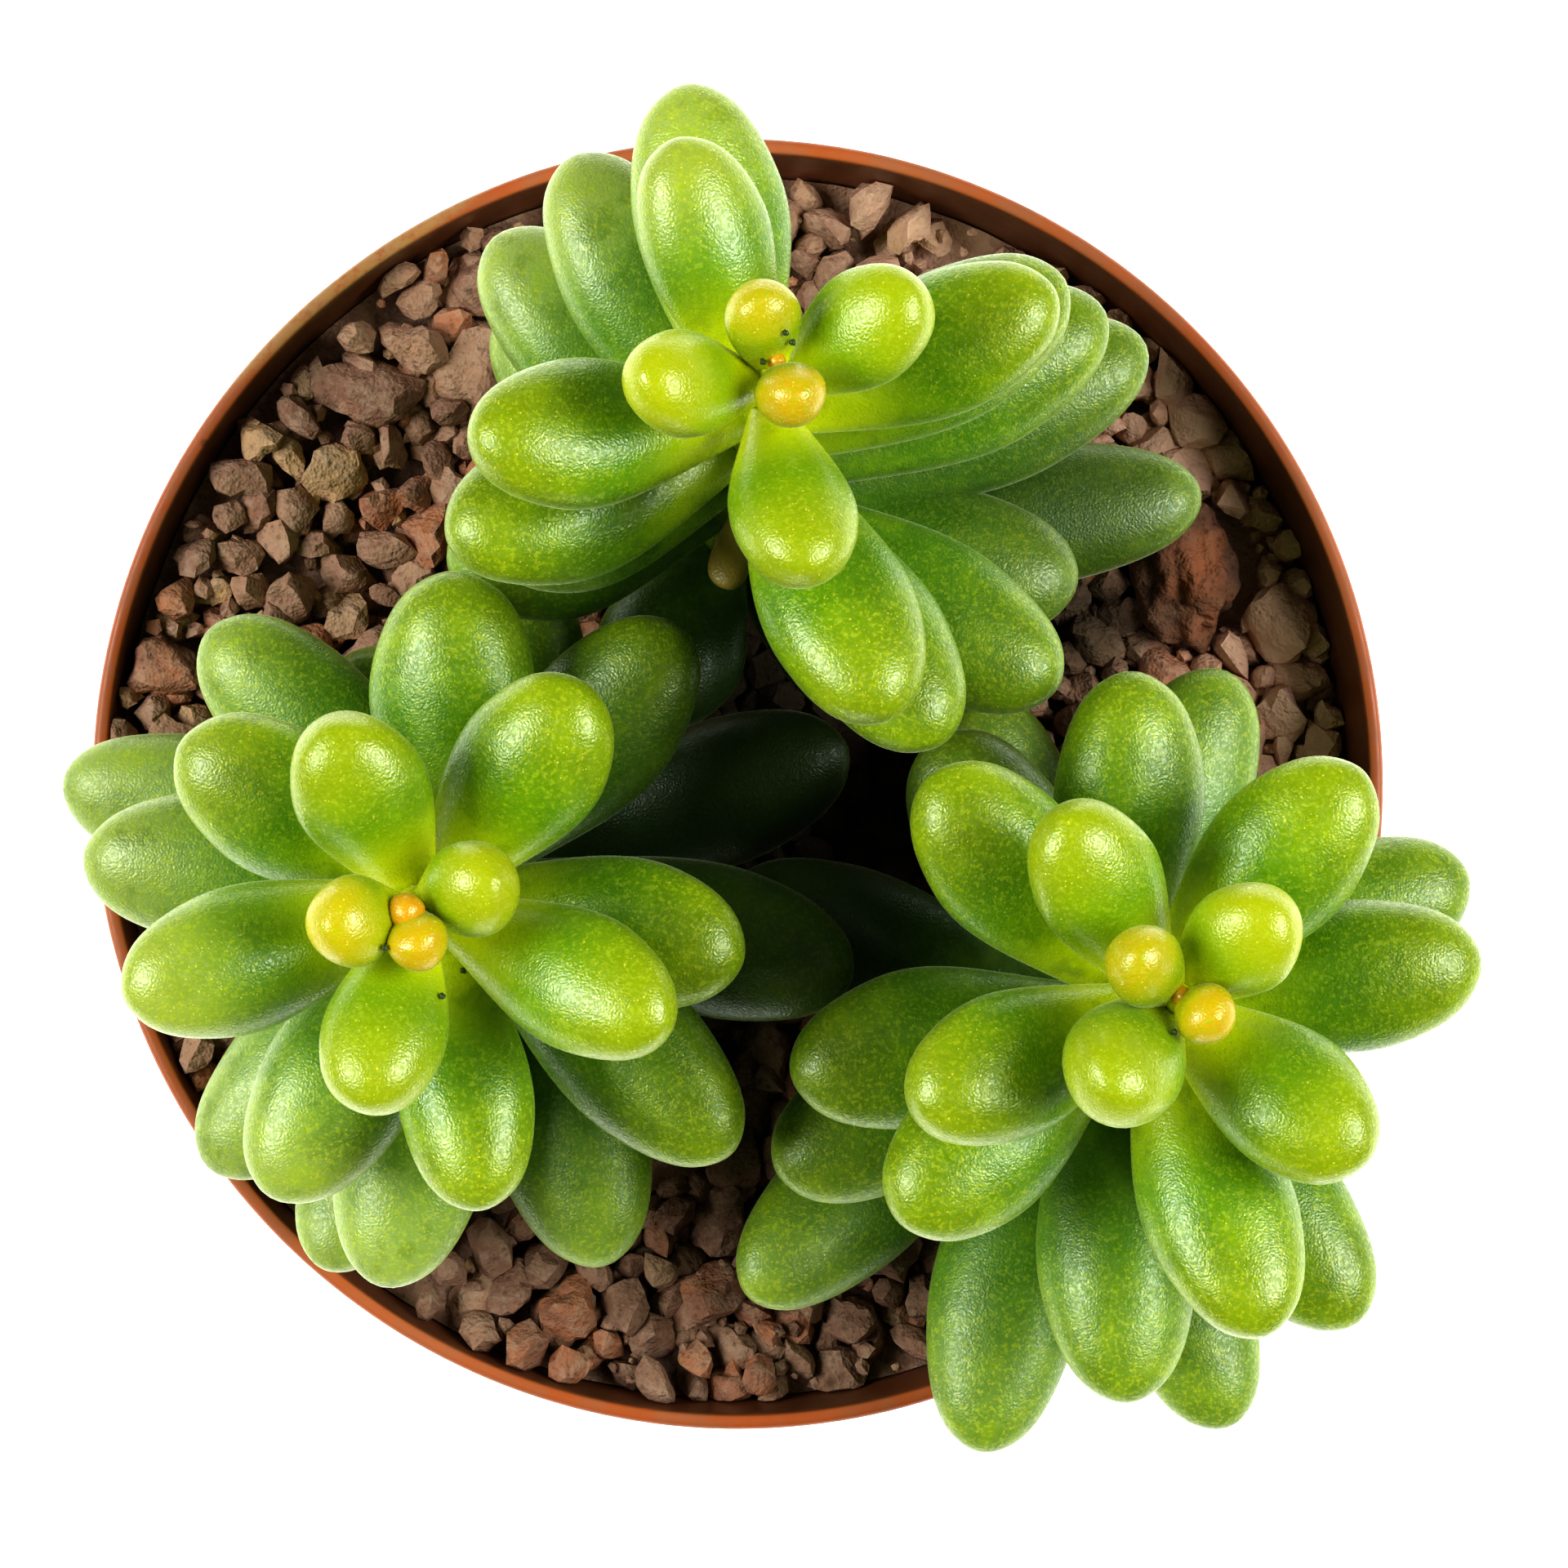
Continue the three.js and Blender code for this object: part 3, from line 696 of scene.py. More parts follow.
@dataclass
class Pot:
    """A thin round nursery pot with a banded rim and drain holes in its floor.

    Attributes:
        finish: its plastic.
        height, rim_radius, base_radius: its outer size.
        wall, floor: how thick these are.
        band_height, band_step, band_taper: the rim's band, how far it stands out from the body and
            how much it narrows downwards.
        corner: how far up the rounding of the base goes.
        drain_count, drain_ring, drain_radius: the holes, and how far they lie from the axis.
        groove_inner, groove_outer, groove_width, groove_depth: the grooves under the floor.
        sides: points round the pot.
        sharp: the angle in degrees past which an edge is left sharp.
    """

    finish: PotPlastic
    height: float = 62
    rim_radius: float = 35
    base_radius: float = 25.4
    wall: float = 0.9
    floor: float = 1.6
    band_height: float = 8.5
    band_step: float = 0.9
    band_taper: float = 0.7
    corner: float = 1.2
    drain_count: int = 8
    drain_ring: float = 18.5
    drain_radius: float = 2.3
    groove_inner: float = 9
    groove_outer: float = 23
    groove_width: float = 2.4
    groove_depth: float = 0.6
    sides: int = 240
    sharp: float = 50

    @property
    def band_foot(self) -> float:
        """Height at which the rim's band starts."""
        return self.height - self.band_height

    @property
    def body_top(self) -> float:
        """Outer radius of the body just below the band."""
        return self.rim_radius - self.band_taper - self.band_step

    def body_radius(self, z: float) -> float:
        """Outer radius of the tapered body at a height below the band."""
        share = (z - self.corner) / (self.band_foot - self.corner)
        return self.base_radius + share * (self.body_top - self.base_radius)

    def profile(self) -> np.ndarray:
        """Radius and height along the wall's section, from the middle of the underside to the floor inside.

        Its corners are rounded, and its ends stay on the axis.
        """
        top, foot = self.height, self.band_foot
        outside = [
            (0, 0), (self.base_radius - self.corner, 0),
            (self.base_radius - 0.3 * self.corner, 0.3 * self.corner),
            (self.base_radius, self.corner), (self.body_top, foot),
            (self.rim_radius - self.band_taper, foot + 0.6 * self.band_step),
            (self.rim_radius, top - 0.4 * self.wall), (self.rim_radius - 0.25 * self.wall, top),
        ]
        inside = [
            (self.rim_radius - 0.85 * self.wall, top), (self.rim_radius - self.wall, top - 0.3 * self.wall),
            (self.rim_radius - self.band_taper - self.wall, foot + self.band_step),
            (self.body_top - self.wall, foot + 0.3 * self.band_step),
            (self.body_radius(self.floor + self.corner) - self.wall, self.floor + self.corner),
            (self.base_radius - self.wall - self.corner, self.floor), (0, self.floor),
        ]
        return self.rounded(np.array(outside + inside, float))

    @staticmethod
    def rounded(corners: np.ndarray, reach: float = 0.45) -> np.ndarray:
        """Each inner corner becomes a short arc of five points.

        Args:
            corners: rows of radius and height.
            reach: how far the arc starts from the corner in millimetres, and at most 0.4 of a side.

        Returns:
            Rows with the arcs in place of the corners. An arc goes from a point a before its corner c
            to a point b after it: (1 − t)²·a + 2t(1 − t)·c + t²·b.
        """
        at = corners[1:-1]
        start, end = (
            at + unit(side) * np.minimum(reach, 0.4 * np.linalg.norm(side, axis=1, keepdims=True))
            for side in (corners[:-2] - at, corners[2:] - at)
        )
        t = np.linspace(0, 1, 5)[None, :, None]
        arcs = (1 - t) ** 2 * start[:, None] + 2 * t * (1 - t) * at[:, None] + t ** 2 * end[:, None]
        return np.concatenate([corners[:1], arcs.reshape(-1, 2), corners[-1:]])

    def shell(self) -> Skin:
        """The wall's section turned about Z: (r·cos a, r·sin a, z) for each turn a and section point.

        The value inner is 0 outside, rises to 0.65 just inside the lip and to 1 down the inner wall.
        """
        section = self.profile()
        turn = np.linspace(0, 2 * math.pi, self.sides, endpoint=False)
        radius, height = section[:, :1], section[:, 1:]
        grid = np.stack([radius * np.cos(turn), radius * np.sin(turn), height + 0 * turn], -1)
        walked = np.arange(len(section))[:, None] + 0 * turn
        lip = np.argmax(section[:, 1])
        inner = 0.65 * ease((walked - lip - 3) / 4) + 0.35 * ease((walked - lip - 10) / 6)
        skin = Skin()
        skin.add(capped(grid), capped_faces(len(section) - 2, self.sides), inner=capped(inner))
        return skin

    def cutters(self) -> bpy.types.Object:
        """The drain holes, each with a groove through it under the floor, as one mesh."""
        cutter = bmesh.new()
        radius = self.drain_radius * METRES
        reach = (self.groove_outer - self.groove_inner, self.groove_width, 2 * self.groove_depth)
        middle = Vector(((self.groove_outer + self.groove_inner) / 2 * METRES, 0, 0))
        for k in range(self.drain_count):
            turn = 2 * math.pi * (k + 0.5) / self.drain_count
            way = Vector((math.cos(turn), math.sin(turn), 0))
            hole = bmesh.ops.create_cone(cutter, cap_ends=True, segments=32, radius1=radius,
                                         radius2=radius, depth=4 * self.floor * METRES)
            bmesh.ops.translate(cutter, verts=hole["verts"], vec=way * self.drain_ring * METRES)
            groove = bmesh.ops.create_cube(cutter, size=METRES)
            bmesh.ops.scale(cutter, verts=groove["verts"], vec=reach)
            bmesh.ops.translate(cutter, verts=groove["verts"], vec=middle)
            for corner in groove["verts"]:
                x, y = corner.co.x, corner.co.y
                corner.co.x = x * way.x - y * way.y
                corner.co.y = x * way.y + y * way.x
        mesh = bpy.data.meshes.new("drain_cutter")
        cutter.to_mesh(mesh)
        cutter.free()
        return new_object("drain_cutter", mesh)

    def build(self) -> None:
        """Makes the pot, with its drain cut out by a Boolean modifier that is applied."""
        piece = self.shell().build("nursery_pot", self.finish.make())
        tool = self.cutters()
        cut = piece.modifiers.new("drain", "BOOLEAN")
        cut.object = tool
        cut.operation = "DIFFERENCE"
        cut.solver = "EXACT"
        cut.use_self = True
        shaped = bpy.data.meshes.new_from_object(piece.evaluated_get(bpy.context.evaluated_depsgraph_get()))
        piece.modifiers.clear()
        piece.data = shaped
        shaped.set_sharp_from_angle(angle=math.radians(self.sharp))
        bpy.data.objects.remove(tool)
        dress(piece, "pot")


# Grit

class Grade(Enum):
    """Grades of grain: count, least and greatest radius, depth below the top, level of its ball."""

    COARSE = (125, 1.40, 2.10, 0.0, 3)
    MIDDLE = (520, 0.80, 1.35, 0.1, 2)
    LOWER = (560, 0.90, 1.35, 1.5, 2)
    CRUMB = (1300, 0.25, 0.65, 0.7, 1)


@dataclass
class Grit:
    """A sloping bed of lava grit: fines with loose angular grains of four grades on them.

    Attributes:
        finish: the look of the grains.
        pot: the pot that holds them.
        stems: the stems that stand in them.
        level, slope, fall, heap, downhill: the surface's shape, as bed_height says; downhill in degrees.
        bed_drop, bed_depth: how far the fines lie below the grains, and how thick they are.
        clearance: the gap to the pot's wall.
        pushes, push, touch: how often the grains push each other apart, what share of their overlap
            at a time, and how close they come, 1 being just in touch.
        wall_gap: the least distance from a grain's middle to the wall, as a share of its radius.
        khaki, rust: spots where the nearest grain has that colour.
        stone, stone_size: the big stone's middle and half sizes.
        stone_pits: how many pits it has.
        sharp: the angle in degrees past which an edge of a grain is left sharp.
    """

    finish: LavaRock
    pot: Pot
    stems: Sequence["LeafyStem"]
    level: float = 57.6
    slope: float = 0.065
    fall: float = 1.4
    heap: float = 1.5
    downhill: float = 20
    bed_drop: float = 2.5
    bed_depth: float = 3
    clearance: float = 0.06
    pushes: int = 160
    push: float = 0.32
    touch: float = 0.97
    wall_gap: float = 0.55
    khaki: tuple[tuple[float, float], ...] = ((-27.1, 19.7), (-24.2, 16.6), (11.0, 29.5))
    rust: tuple[tuple[float, float], ...] = (
        (-19.6, 14.4), (-15.2, 16.8), (-24.5, 5.5), (-8.3, -30.2), (24.0, 6.0),
    )
    stone: Triple = (24.6, 11.7, 56.5)
    stone_size: Triple = (2.7, 4.0, 2.6)
    stone_pits: int = 90
    sharp: float = 34

    def bed_height(self, x: np.ndarray, y: np.ndarray) -> np.ndarray:
        """Height of the surface: level − slope·s − fall·max(0, s / wall)⁴ + heap·(r / wall)⁶.

        Here s is the way downhill, r the distance from the axis and wall the pot's radius.
        """
        way = math.radians(self.downhill)
        s = x * math.cos(way) + y * math.sin(way)
        wall = self.pot.body_top
        heaped = self.heap * (np.hypot(x, y) / wall) ** 6
        return self.level - self.slope * s - self.fall * np.maximum(s / wall, 0) ** 4 + heaped

    def room(self, height: np.ndarray) -> np.ndarray:
        """Radius of the pot's inner wall at a height, less the clearance."""
        pot = self.pot
        heights = (pot.floor, pot.band_foot, pot.band_foot + pot.band_step, pot.height)
        radii = (pot.body_radius(pot.floor) - pot.wall, pot.body_top - pot.wall,
                 pot.rim_radius - pot.band_taper - pot.wall, pot.rim_radius - pot.wall)
        return np.interp(height, heights, radii) - self.clearance

    def damp(self, x: np.ndarray, y: np.ndarray) -> np.ndarray:
        """How the grit is painted darker and lighter: 1 for painted shade between the stems, down to −1.5
        for painted light at the far right.

        Some painted shade lies beside the stone and at the bottom of the picture, and it is 0 elsewhere.
        """
        # painted shade between the stems and beside the stone
        between = 1 - ease((np.hypot(x - 1, y) - 4) / 14)
        beside = 0.8 * (1 - ease((np.hypot(x - 19, y - 10) - 2) / 5))
        # painted light: the grit at the far right is made lighter
        lightened = ease((x + 0.8 * y - 27) / 8) + 0.5 * ease((x - 22) / 7)
        return between + beside + 0.3 * ease((-y - 18) / 8) - lightened

    def spread(self, radii: np.ndarray, draw: np.random.Generator, held: np.ndarray) -> np.ndarray:
        """Places discs on the bed and lets them push each other apart.

        Args:
            radii: the discs' radii.
            draw: the random draw.
            held: rows of x, y and radius of discs that don't move.

        Returns:
            Rows of x and y.
        """
        turn = draw.uniform(0, 2 * math.pi, len(radii))
        away = (self.pot.body_top - radii) * np.sqrt(draw.uniform(0, 1, len(radii)))
        centres = np.stack([away * np.cos(turn), away * np.sin(turn)], -1)
        sizes = np.concatenate([radii, held[:, 2]])
        for _ in range(self.pushes):
            everything = np.concatenate([centres, held[:, :2]])
            apart = centres[:, None] - everything[None]
            distance = np.hypot(apart[..., 0], apart[..., 1]) + 1e-9
            overlap = np.clip(self.touch * (radii[:, None] + sizes[None]) - distance, 0, None)
            np.fill_diagonal(overlap, 0)
            centres += self.push * (apart / distance[..., None] * overlap[..., None]).sum(1)
            from_axis = np.hypot(*centres.T)
            limit = self.room(self.bed_height(*centres.T)) - self.wall_gap * radii
            centres *= np.where(from_axis > limit, limit / from_axis, 1)[:, None]
        return centres

    def kinds(self, centres: np.ndarray, draw: np.random.Generator) -> np.ndarray:
        """Colour draw of each grain: mostly mauve to brown, some rust, a few khaki at named spots."""
        kind = draw.uniform(0.2, 0.75, len(centres))
        lot = draw.uniform(size=len(centres))
        kind = np.where(lot < 0.14, 1.1 * lot, np.where(lot > 0.94, 0.9, kind))
        for spots, value in ((self.rust, 0.05), (self.khaki, 0.97)):
            for spot in spots:
                kind[np.argmin(np.hypot(*(centres - np.array(spot)).T))] = value
        return kind

    @staticmethod
    def grain_shapes(directions: np.ndarray, count: int, draw: np.random.Generator) -> np.ndarray:
        """Angular, crumbly grains, about as large as a ball of radius 1.

        A grain is cut by random planes. Its radius in a direction d is the p-norm of d·n / o over the
        planes, turned upside down: (Σ max(0, d·n / o)^p)^(−1/p), where n is a plane's normal and o its
        distance. A high p gives sharp edges. Ripples of two lengths then make it lumpy.

        Args:
            directions: the template's unit vectors.
            count: how many grains.
            draw: the random draw.

        Returns:
            An array of grains by points by x, y, z.
        """
        planes = 11
        normals = unit(draw.normal(size=(count, planes, 3)))
        offsets = draw.uniform(0.6, 1.0, (count, planes, 1))
        power = 16
        reach = np.clip(np.einsum("gpi,vi->gpv", normals, directions) / offsets, 0, None)
        radius = (np.sum(reach ** power, axis=1) + 0.75 ** power) ** (-1 / power)
        apart = directions[None] + draw.uniform(-40, 40, (count, 1, 3))
        radius = radius * (1 + 0.09 * ripples(apart, 1.2, 12, 21) + 0.05 * ripples(apart, 0.5, 12, 22))
        stretch = draw.uniform(0.72, 1.3, (count, 1, 3))
        turned, _ = np.linalg.qr(draw.normal(size=(count, 3, 3)))
        turned *= np.sign(np.linalg.det(turned))[:, None, None]
        shapes = directions[None] * radius[..., None] * stretch
        return np.einsum("gij,gvj->gvi", turned, shapes)

    def grains(self, skin: Skin, draw: np.random.Generator) -> None:
        """Adds the grains of all grades to the skin. Only the middle ones make way for the coarse ones."""
        stone = (*self.stone[:2], max(self.stone_size) + 0.2)
        standing = np.array([stone, *((*stem.at(stem.length)[0][0, :2], 2.2) for stem in self.stems)])
        coarse = standing[:0]
        for grade in Grade:
            count, least, greatest, deep, level = grade.value
            radii = draw.uniform(least, greatest, count)
            held = np.concatenate([standing, coarse]) if grade is Grade.MIDDLE else standing
            centres = self.spread(radii, draw, held)
            if grade is Grade.COARSE:
                coarse = np.column_stack([centres, radii])
            directions, faces = ball_template(level)
            shapes = self.grain_shapes(directions, count, draw) * radii[:, None, None]
            height = self.bed_height(*centres.T) - deep
            height = height + draw.uniform(-0.45, 0.35, count) - 0.35 * (radii - 1.2)
            points = (shapes + np.column_stack([centres, height])[:, None]).reshape(-1, 3)
            away = np.hypot(*points.T[:2])
            points[:, :2] *= np.minimum(1, self.room(points[:, 2]) / away)[:, None]
            kind = np.repeat(self.kinds(centres, draw), len(directions))
            starts = len(directions) * np.arange(count)[:, None, None]
            skin.add(points, [(faces[None] + starts).reshape(-1, 3)],
                     kind=kind, damp=self.damp(*points.T[:2]))

    def bed(self, skin: Skin) -> None:
        """Adds the bed of fines: a disc with a bumpy top that follows the slope, closed below."""
        rings, under_rings, columns = 60, 5, 120
        turn = np.linspace(0, 2 * math.pi, columns, endpoint=False)
        edge = self.pot.body_top
        reach = self.room(self.bed_height(edge * np.cos(turn), edge * np.sin(turn)) - self.bed_drop)
        shares = [np.linspace(0, 1, under_rings, endpoint=False), np.linspace(1, 0, rings)]
        out = reach * np.concatenate(shares)[:, None]
        under = np.arange(len(out))[:, None] < under_rings
        x, y = out * np.cos(turn), out * np.sin(turn)
        top = self.bed_height(x, y) - self.bed_drop
        top += 0.35 * ripples(np.stack([x, y, 0 * x], -1), 2.6, 24, 4)
        grid = np.stack([x, y, np.where(under, top - self.bed_depth, top)], -1)
        points = capped(grid)
        faces = capped_faces(len(out) - 2, columns)
        skin.add(points, faces, kind=0.3, damp=self.damp(*points.T[:2]))

    def build(self) -> None:
        """Makes the bed and its grains."""
        skin = Skin()
        self.bed(skin)
        self.grains(skin, np.random.default_rng(11))
        dress(skin.build("grit_grains", self.finish.make(), self.sharp), "lava_grit")

    def build_stone(self, finish: LavaRock) -> None:
        """Makes the one big stone: a ball with lumps and random pits, drawn out to its size.

        Its radius is about 1 plus ripples, less a bell-shaped pit round each random direction.
        """
        directions, faces = ball_template(5)
        draw = np.random.default_rng(5)
        pits = unit(draw.normal(size=(self.stone_pits, 3)))
        widths = draw.uniform(0.07, 0.20, self.stone_pits)
        angles = np.arccos(np.clip(directions @ pits.T, -1, 1))
        dents = (0.6 * widths * np.exp(-((angles / widths) ** 2))).sum(-1)
        lumps = 0.11 * ripples(directions, 1.7, 8, 2) + 0.06 * ripples(directions, 0.6, 16, 3)
        radius = 1.08 + lumps + 0.02 * ripples(directions, 0.25, 24, 4) - dents
        points = directions * radius[:, None] * np.array(self.stone_size) + np.array(self.stone)
        skin = Skin()
        skin.add(points, [faces], kind=0.19 + 0.09 * ripples(directions, 1.5, 6, 9), damp=0)
        dress(skin.build("grit_stone", finish.make()), "lava_pebble")


# Stems and leaves

class Growth(Enum):
    """How the leaves turn round a stem."""

    SPIRAL = "each leaf a golden angle after the one above"
    CROSSED = "in pairs, each pair across the one above"

    def azimuth(self, i: int) -> float:
        """Direction in degrees in which leaf i grows, 1 being the youngest."""
        if self is Growth.SPIRAL:
            return -58 - 137.5 * (i - 1)
        return -80 + (0, 190, -92, 95)[(i - 1) % 4] + 3 * ((i - 1) // 4)


def shaded(points: np.ndarray) -> np.ndarray:
    """How deep in the shade points lie: 1 low down between the stems, 0 higher up or further out.

    A second, weaker shade lies low beside the big stone. Leaves that reach out to the left get the
    most light, down to −1, and more so towards the top of the picture, down to −1.5. The leaf skin
    paints this shade and this light into the colour of the leaves and green stems.
    """
    x, y, z = points.T
    # painted shade: low between the stems, and weaker low beside the stone
    between = ease((92 - z) / 22) * (1 - ease((np.hypot(x, y + 3) - 6) / 13))
    beside = 0.62 * ease((82 - z) / 12) * (1 - ease((np.hypot(x - 16, y - 14) - 4) / 9))
    # painted light: leaves that reach out to the left, more so towards the top of the picture
    painted_sunlight = ease((np.hypot(x, y) - 20) / 12) * ease((12 - x) / 24) * (1 + 0.5 * ease((y - 8) / 14))
    return np.maximum(between, beside) - painted_sunlight


@dataclass(frozen=True)
class Leaf:
    """One bean-shaped leaf: it widens from a narrow root to a blunt end and curves up a little.

    Attributes:
        root, stem_way: where it grows on the stem, and the stem's direction there.
        azimuth, pitch: its direction round the vertical and its angle from the stem, in radians.
        length, width, thick: its size.
        age, tone: as the leaf's skin takes them.
        bend: how far its midline turns on its way to the tip, in radians.
        round: how blunt its ends are: 1 makes an ellipse, and less makes them fuller.
        widest: how far along it has its full width.
        neck_width, neck_depth: its width and thickness at the root, as shares of the full ones.
        upper: how far the upper side bulges, 1 being as far as the lower one.
        apex: how far the blunt point stands out, as a share of the width.
        uneven: how deep the waves on its surface are, as a share of its half width.
        rings, columns: points along it and round it.
    """

    root: np.ndarray
    stem_way: np.ndarray
    azimuth: float
    length: float
    width: float
    thick: float
    pitch: float
    age: float
    tone: float
    bend: float = math.radians(-20)
    round: float = 0.72
    widest: float = 0.72
    neck_width: float = 0.5
    neck_depth: float = 0.6
    upper: float = 0.84
    apex: float = 0.045
    uneven: float = 0.022
    rings: int = 46
    columns: int = 36

    def add_to(self, skin: Skin) -> None:
        """Adds the leaf's surface to the skin.

        With run from 0 to 1 and an angle round the leaf, t = (1 − cos(π·run)) / 2 goes from root to
        tip and the midline leans by pitch + bend·t, so it is an arc. The section is an ellipse as
        wide as sin(π·run)^round, narrower at the neck and flatter above. A blunt point stands out at
        the tip, and slow waves make each leaf a little uneven.
        """
        out = np.array([math.cos(self.azimuth), math.sin(self.azimuth), 0.0])
        out = unit(out - self.stem_way * (out @ self.stem_way))
        side = np.cross(self.stem_way, out)
        turn = math.pi * np.linspace(0, 1, self.rings + 2)[:, None]
        angle = np.linspace(0, 2 * math.pi, self.columns, endpoint=False)[None]
        t = (1 - np.cos(turn)) / 2
        lean = self.pitch + self.bend * t
        swell = np.sin(turn).clip(0) ** self.round
        full = ease(t / self.widest)
        half = self.width / 2 * swell * (self.neck_width + (1 - self.neck_width) * full)
        deep = self.thick / 2 * swell * (self.neck_depth + (1 - self.neck_depth) * full)
        bulge = np.where(np.sin(angle) > 0, self.upper, 2 - self.upper)
        phase = 40 * self.tone + 9 * self.age
        wave = 1 + self.uneven * (np.sin(2 * angle + phase) * np.sin(4.5 * t + 2 * phase)
                                  + np.sin(3 * angle - 2 * phase) * np.sin(7 * t + phase))
        reach = self.length / self.bend
        across = half * np.cos(angle) * wave
        up = deep * bulge * np.sin(angle) * wave
        point_out = self.apex * self.width * np.exp(-((swell / 0.30) ** 2)) * (t > 0.5)
        cos, sin = np.cos(lean), np.sin(lean)
        outward = reach * (math.cos(self.pitch) - cos) - cos * up + sin * point_out
        onward = reach * (sin - math.sin(self.pitch)) + sin * up + cos * point_out
        grid = (self.root + outward[..., None] * out + onward[..., None] * self.stem_way
                + across[..., None] * side)
        along = np.broadcast_to(t, grid.shape[:2])
        points = capped(grid)
        skin.add(points, capped_faces(self.rings, self.columns),
                 age=self.age, along=capped(along), tone=self.tone, deep=shaded(points))


@dataclass
class LeafyStem:
    """One stem: a curved path with leaves from the bud at its tip to the old ones at its foot.

    Attributes:
        name: which stem it is.
        tip, bend, foot: points that steer the path, a quadratic curve.
        leaves: how many leaves it grew.
        growth: how they turn round it.
        fallen: the numbers of the leaves that it has lost.
        bud: size of the bud, 1 for a fully open one.
        crumbs: where tiny black crumbs lie on the crown, as x and y.
        withered: the arguments of dry_leaf, if a dry leaf still hangs on.
        own: for a leaf's number, its own turn in degrees, share of the length, pitch in degrees and
            share of the width.
        oldest: the number of leaves that counts as age 1.
        crown_leaves: the number of the last leaf that belongs to the crown.
        crown_end: how far down the stem the crown goes.
        green_tail: how far the green goes on below the last leaf.
        root_length: how far the wood goes on below the foot.
        radii: of the stem at its peak, under the crown, where the green ends, of the wood and of
            the wood's lower end.
        gap: between two stretches of the stem.
        green_rough, wood_rough: how deep the ripples on these stretches are.
    """

    name: str
    tip: Triple
    bend: Triple
    foot: Triple
    leaves: int
    growth: Growth
    own: dict[int, tuple[float, ...]]
    fallen: tuple[int, ...] = ()
    bud: float = 1
    crumbs: tuple[tuple[float, float], ...] = ()
    withered: tuple[float, ...] = ()
    oldest: int = 28
    crown_leaves: int = 3
    crown_end: float = 3.2
    green_tail: float = 2.7
    root_length: float = 14
    radii: tuple[float, ...] = (0.66, 1.1, 1.8, 2.1, 1.2)
    gap: float = 0.3
    green_rough: float = 0.05
    wood_rough: float = 0.12

    def __post_init__(self) -> None:
        """Measures the path: its length along a fine row of points on the curve."""
        share = np.linspace(0, 1, 401)[:, None]
        tip, bend, foot = (np.array(point, float) for point in (self.tip, self.bend, self.foot))
        self._points = (1 - share) ** 2 * tip + 2 * share * (1 - share) * bend + share ** 2 * foot
        self._ways = unit((1 - share) * (tip - bend) + share * (bend - foot))
        steps = np.linalg.norm(np.diff(self._points, axis=0), axis=1)
        self._downs = np.concatenate([[0], np.cumsum(steps)])
        self.length = float(self._downs[-1])

    def at(self, down: float | np.ndarray) -> tuple[np.ndarray, np.ndarray]:
        """Points and directions towards the tip at distances down from the tip, straight past the foot."""
        down = np.atleast_1d(down)
        point = np.stack([np.interp(down, self._downs, column) for column in self._points.T], -1)
        way = unit(np.stack([np.interp(down, self._downs, column) for column in self._ways.T], -1))
        return point - way * np.clip(down - self.length, 0, None)[:, None], way

    @staticmethod
    def leaf_place(i: int) -> float:
        """How far down the stem leaf i grows: the gaps widen a little with age."""
        return 0.5 + 0.9 * (i - 1) ** 1.12

    @property
    def green_end(self) -> float:
        """How far down the green of the stem goes."""
        return self.leaf_place(self.leaves) + self.green_tail

    def leaf(self, i: int, tone: float) -> Leaf:
        """Leaf i, sized by its age. 0 is the bud at the very tip.

        From the crown down, leaves grow quickly to 8.3 mm wide and 16.6 mm long and then a little
        longer still, get flatter, and lean from 19 to 99 degrees away from the stem.
        """
        (root,), (way,) = self.at(0 if i == 0 else self.leaf_place(i))
        age = i / self.oldest
        if i == 0:
            azimuth, bud = math.radians(self.growth.azimuth(1) + 180), self.bud
            return Leaf(root, way, azimuth, 2.4 * bud, 1.9 * bud, 1.8 * bud, math.radians(10), age, tone)
        own = self.own.get(i, ())
        turn, share, tip, wide = (*own, *(0, 1, 0, 1)[len(own):])
        width = (1.4 + 6.9 * rise(i, 3, 1.1)) * wide
        return Leaf(
            root, way, math.radians(self.growth.azimuth(i) + turn),
            length=(1.2 + 15.4 * rise(i, 4.4, 1.6) + 0.17 * i) * share, width=width,
            thick=width * (0.94 - 0.14 * rise(i, 4)), pitch=math.radians(19 + 80 * rise(i, 4.6) + tip),
            age=age, tone=tone,
        )

    def dry_leaf(self, down: float, azimuth: float, pitch: float, length: float, width: float) -> Leaf:
        """A shrivelled leaf that still hangs on the stem.

        Args:
            down: how far down the stem it grows.
            azimuth: the direction in degrees in which it points.
            pitch: its angle in degrees from the stem.
            length: its length in millimetres.
            width: its width in millimetres.

        Returns:
            The leaf, with the tone that stands for a dry one.
        """
        (root,), (way,) = self.at(down)
        return Leaf(root, way, math.radians(azimuth), length, width, 0.7 * width, math.radians(pitch),
                    age=1, tone=2, neck_width=0.1, neck_depth=0.2, widest=0.9, uneven=0.08)

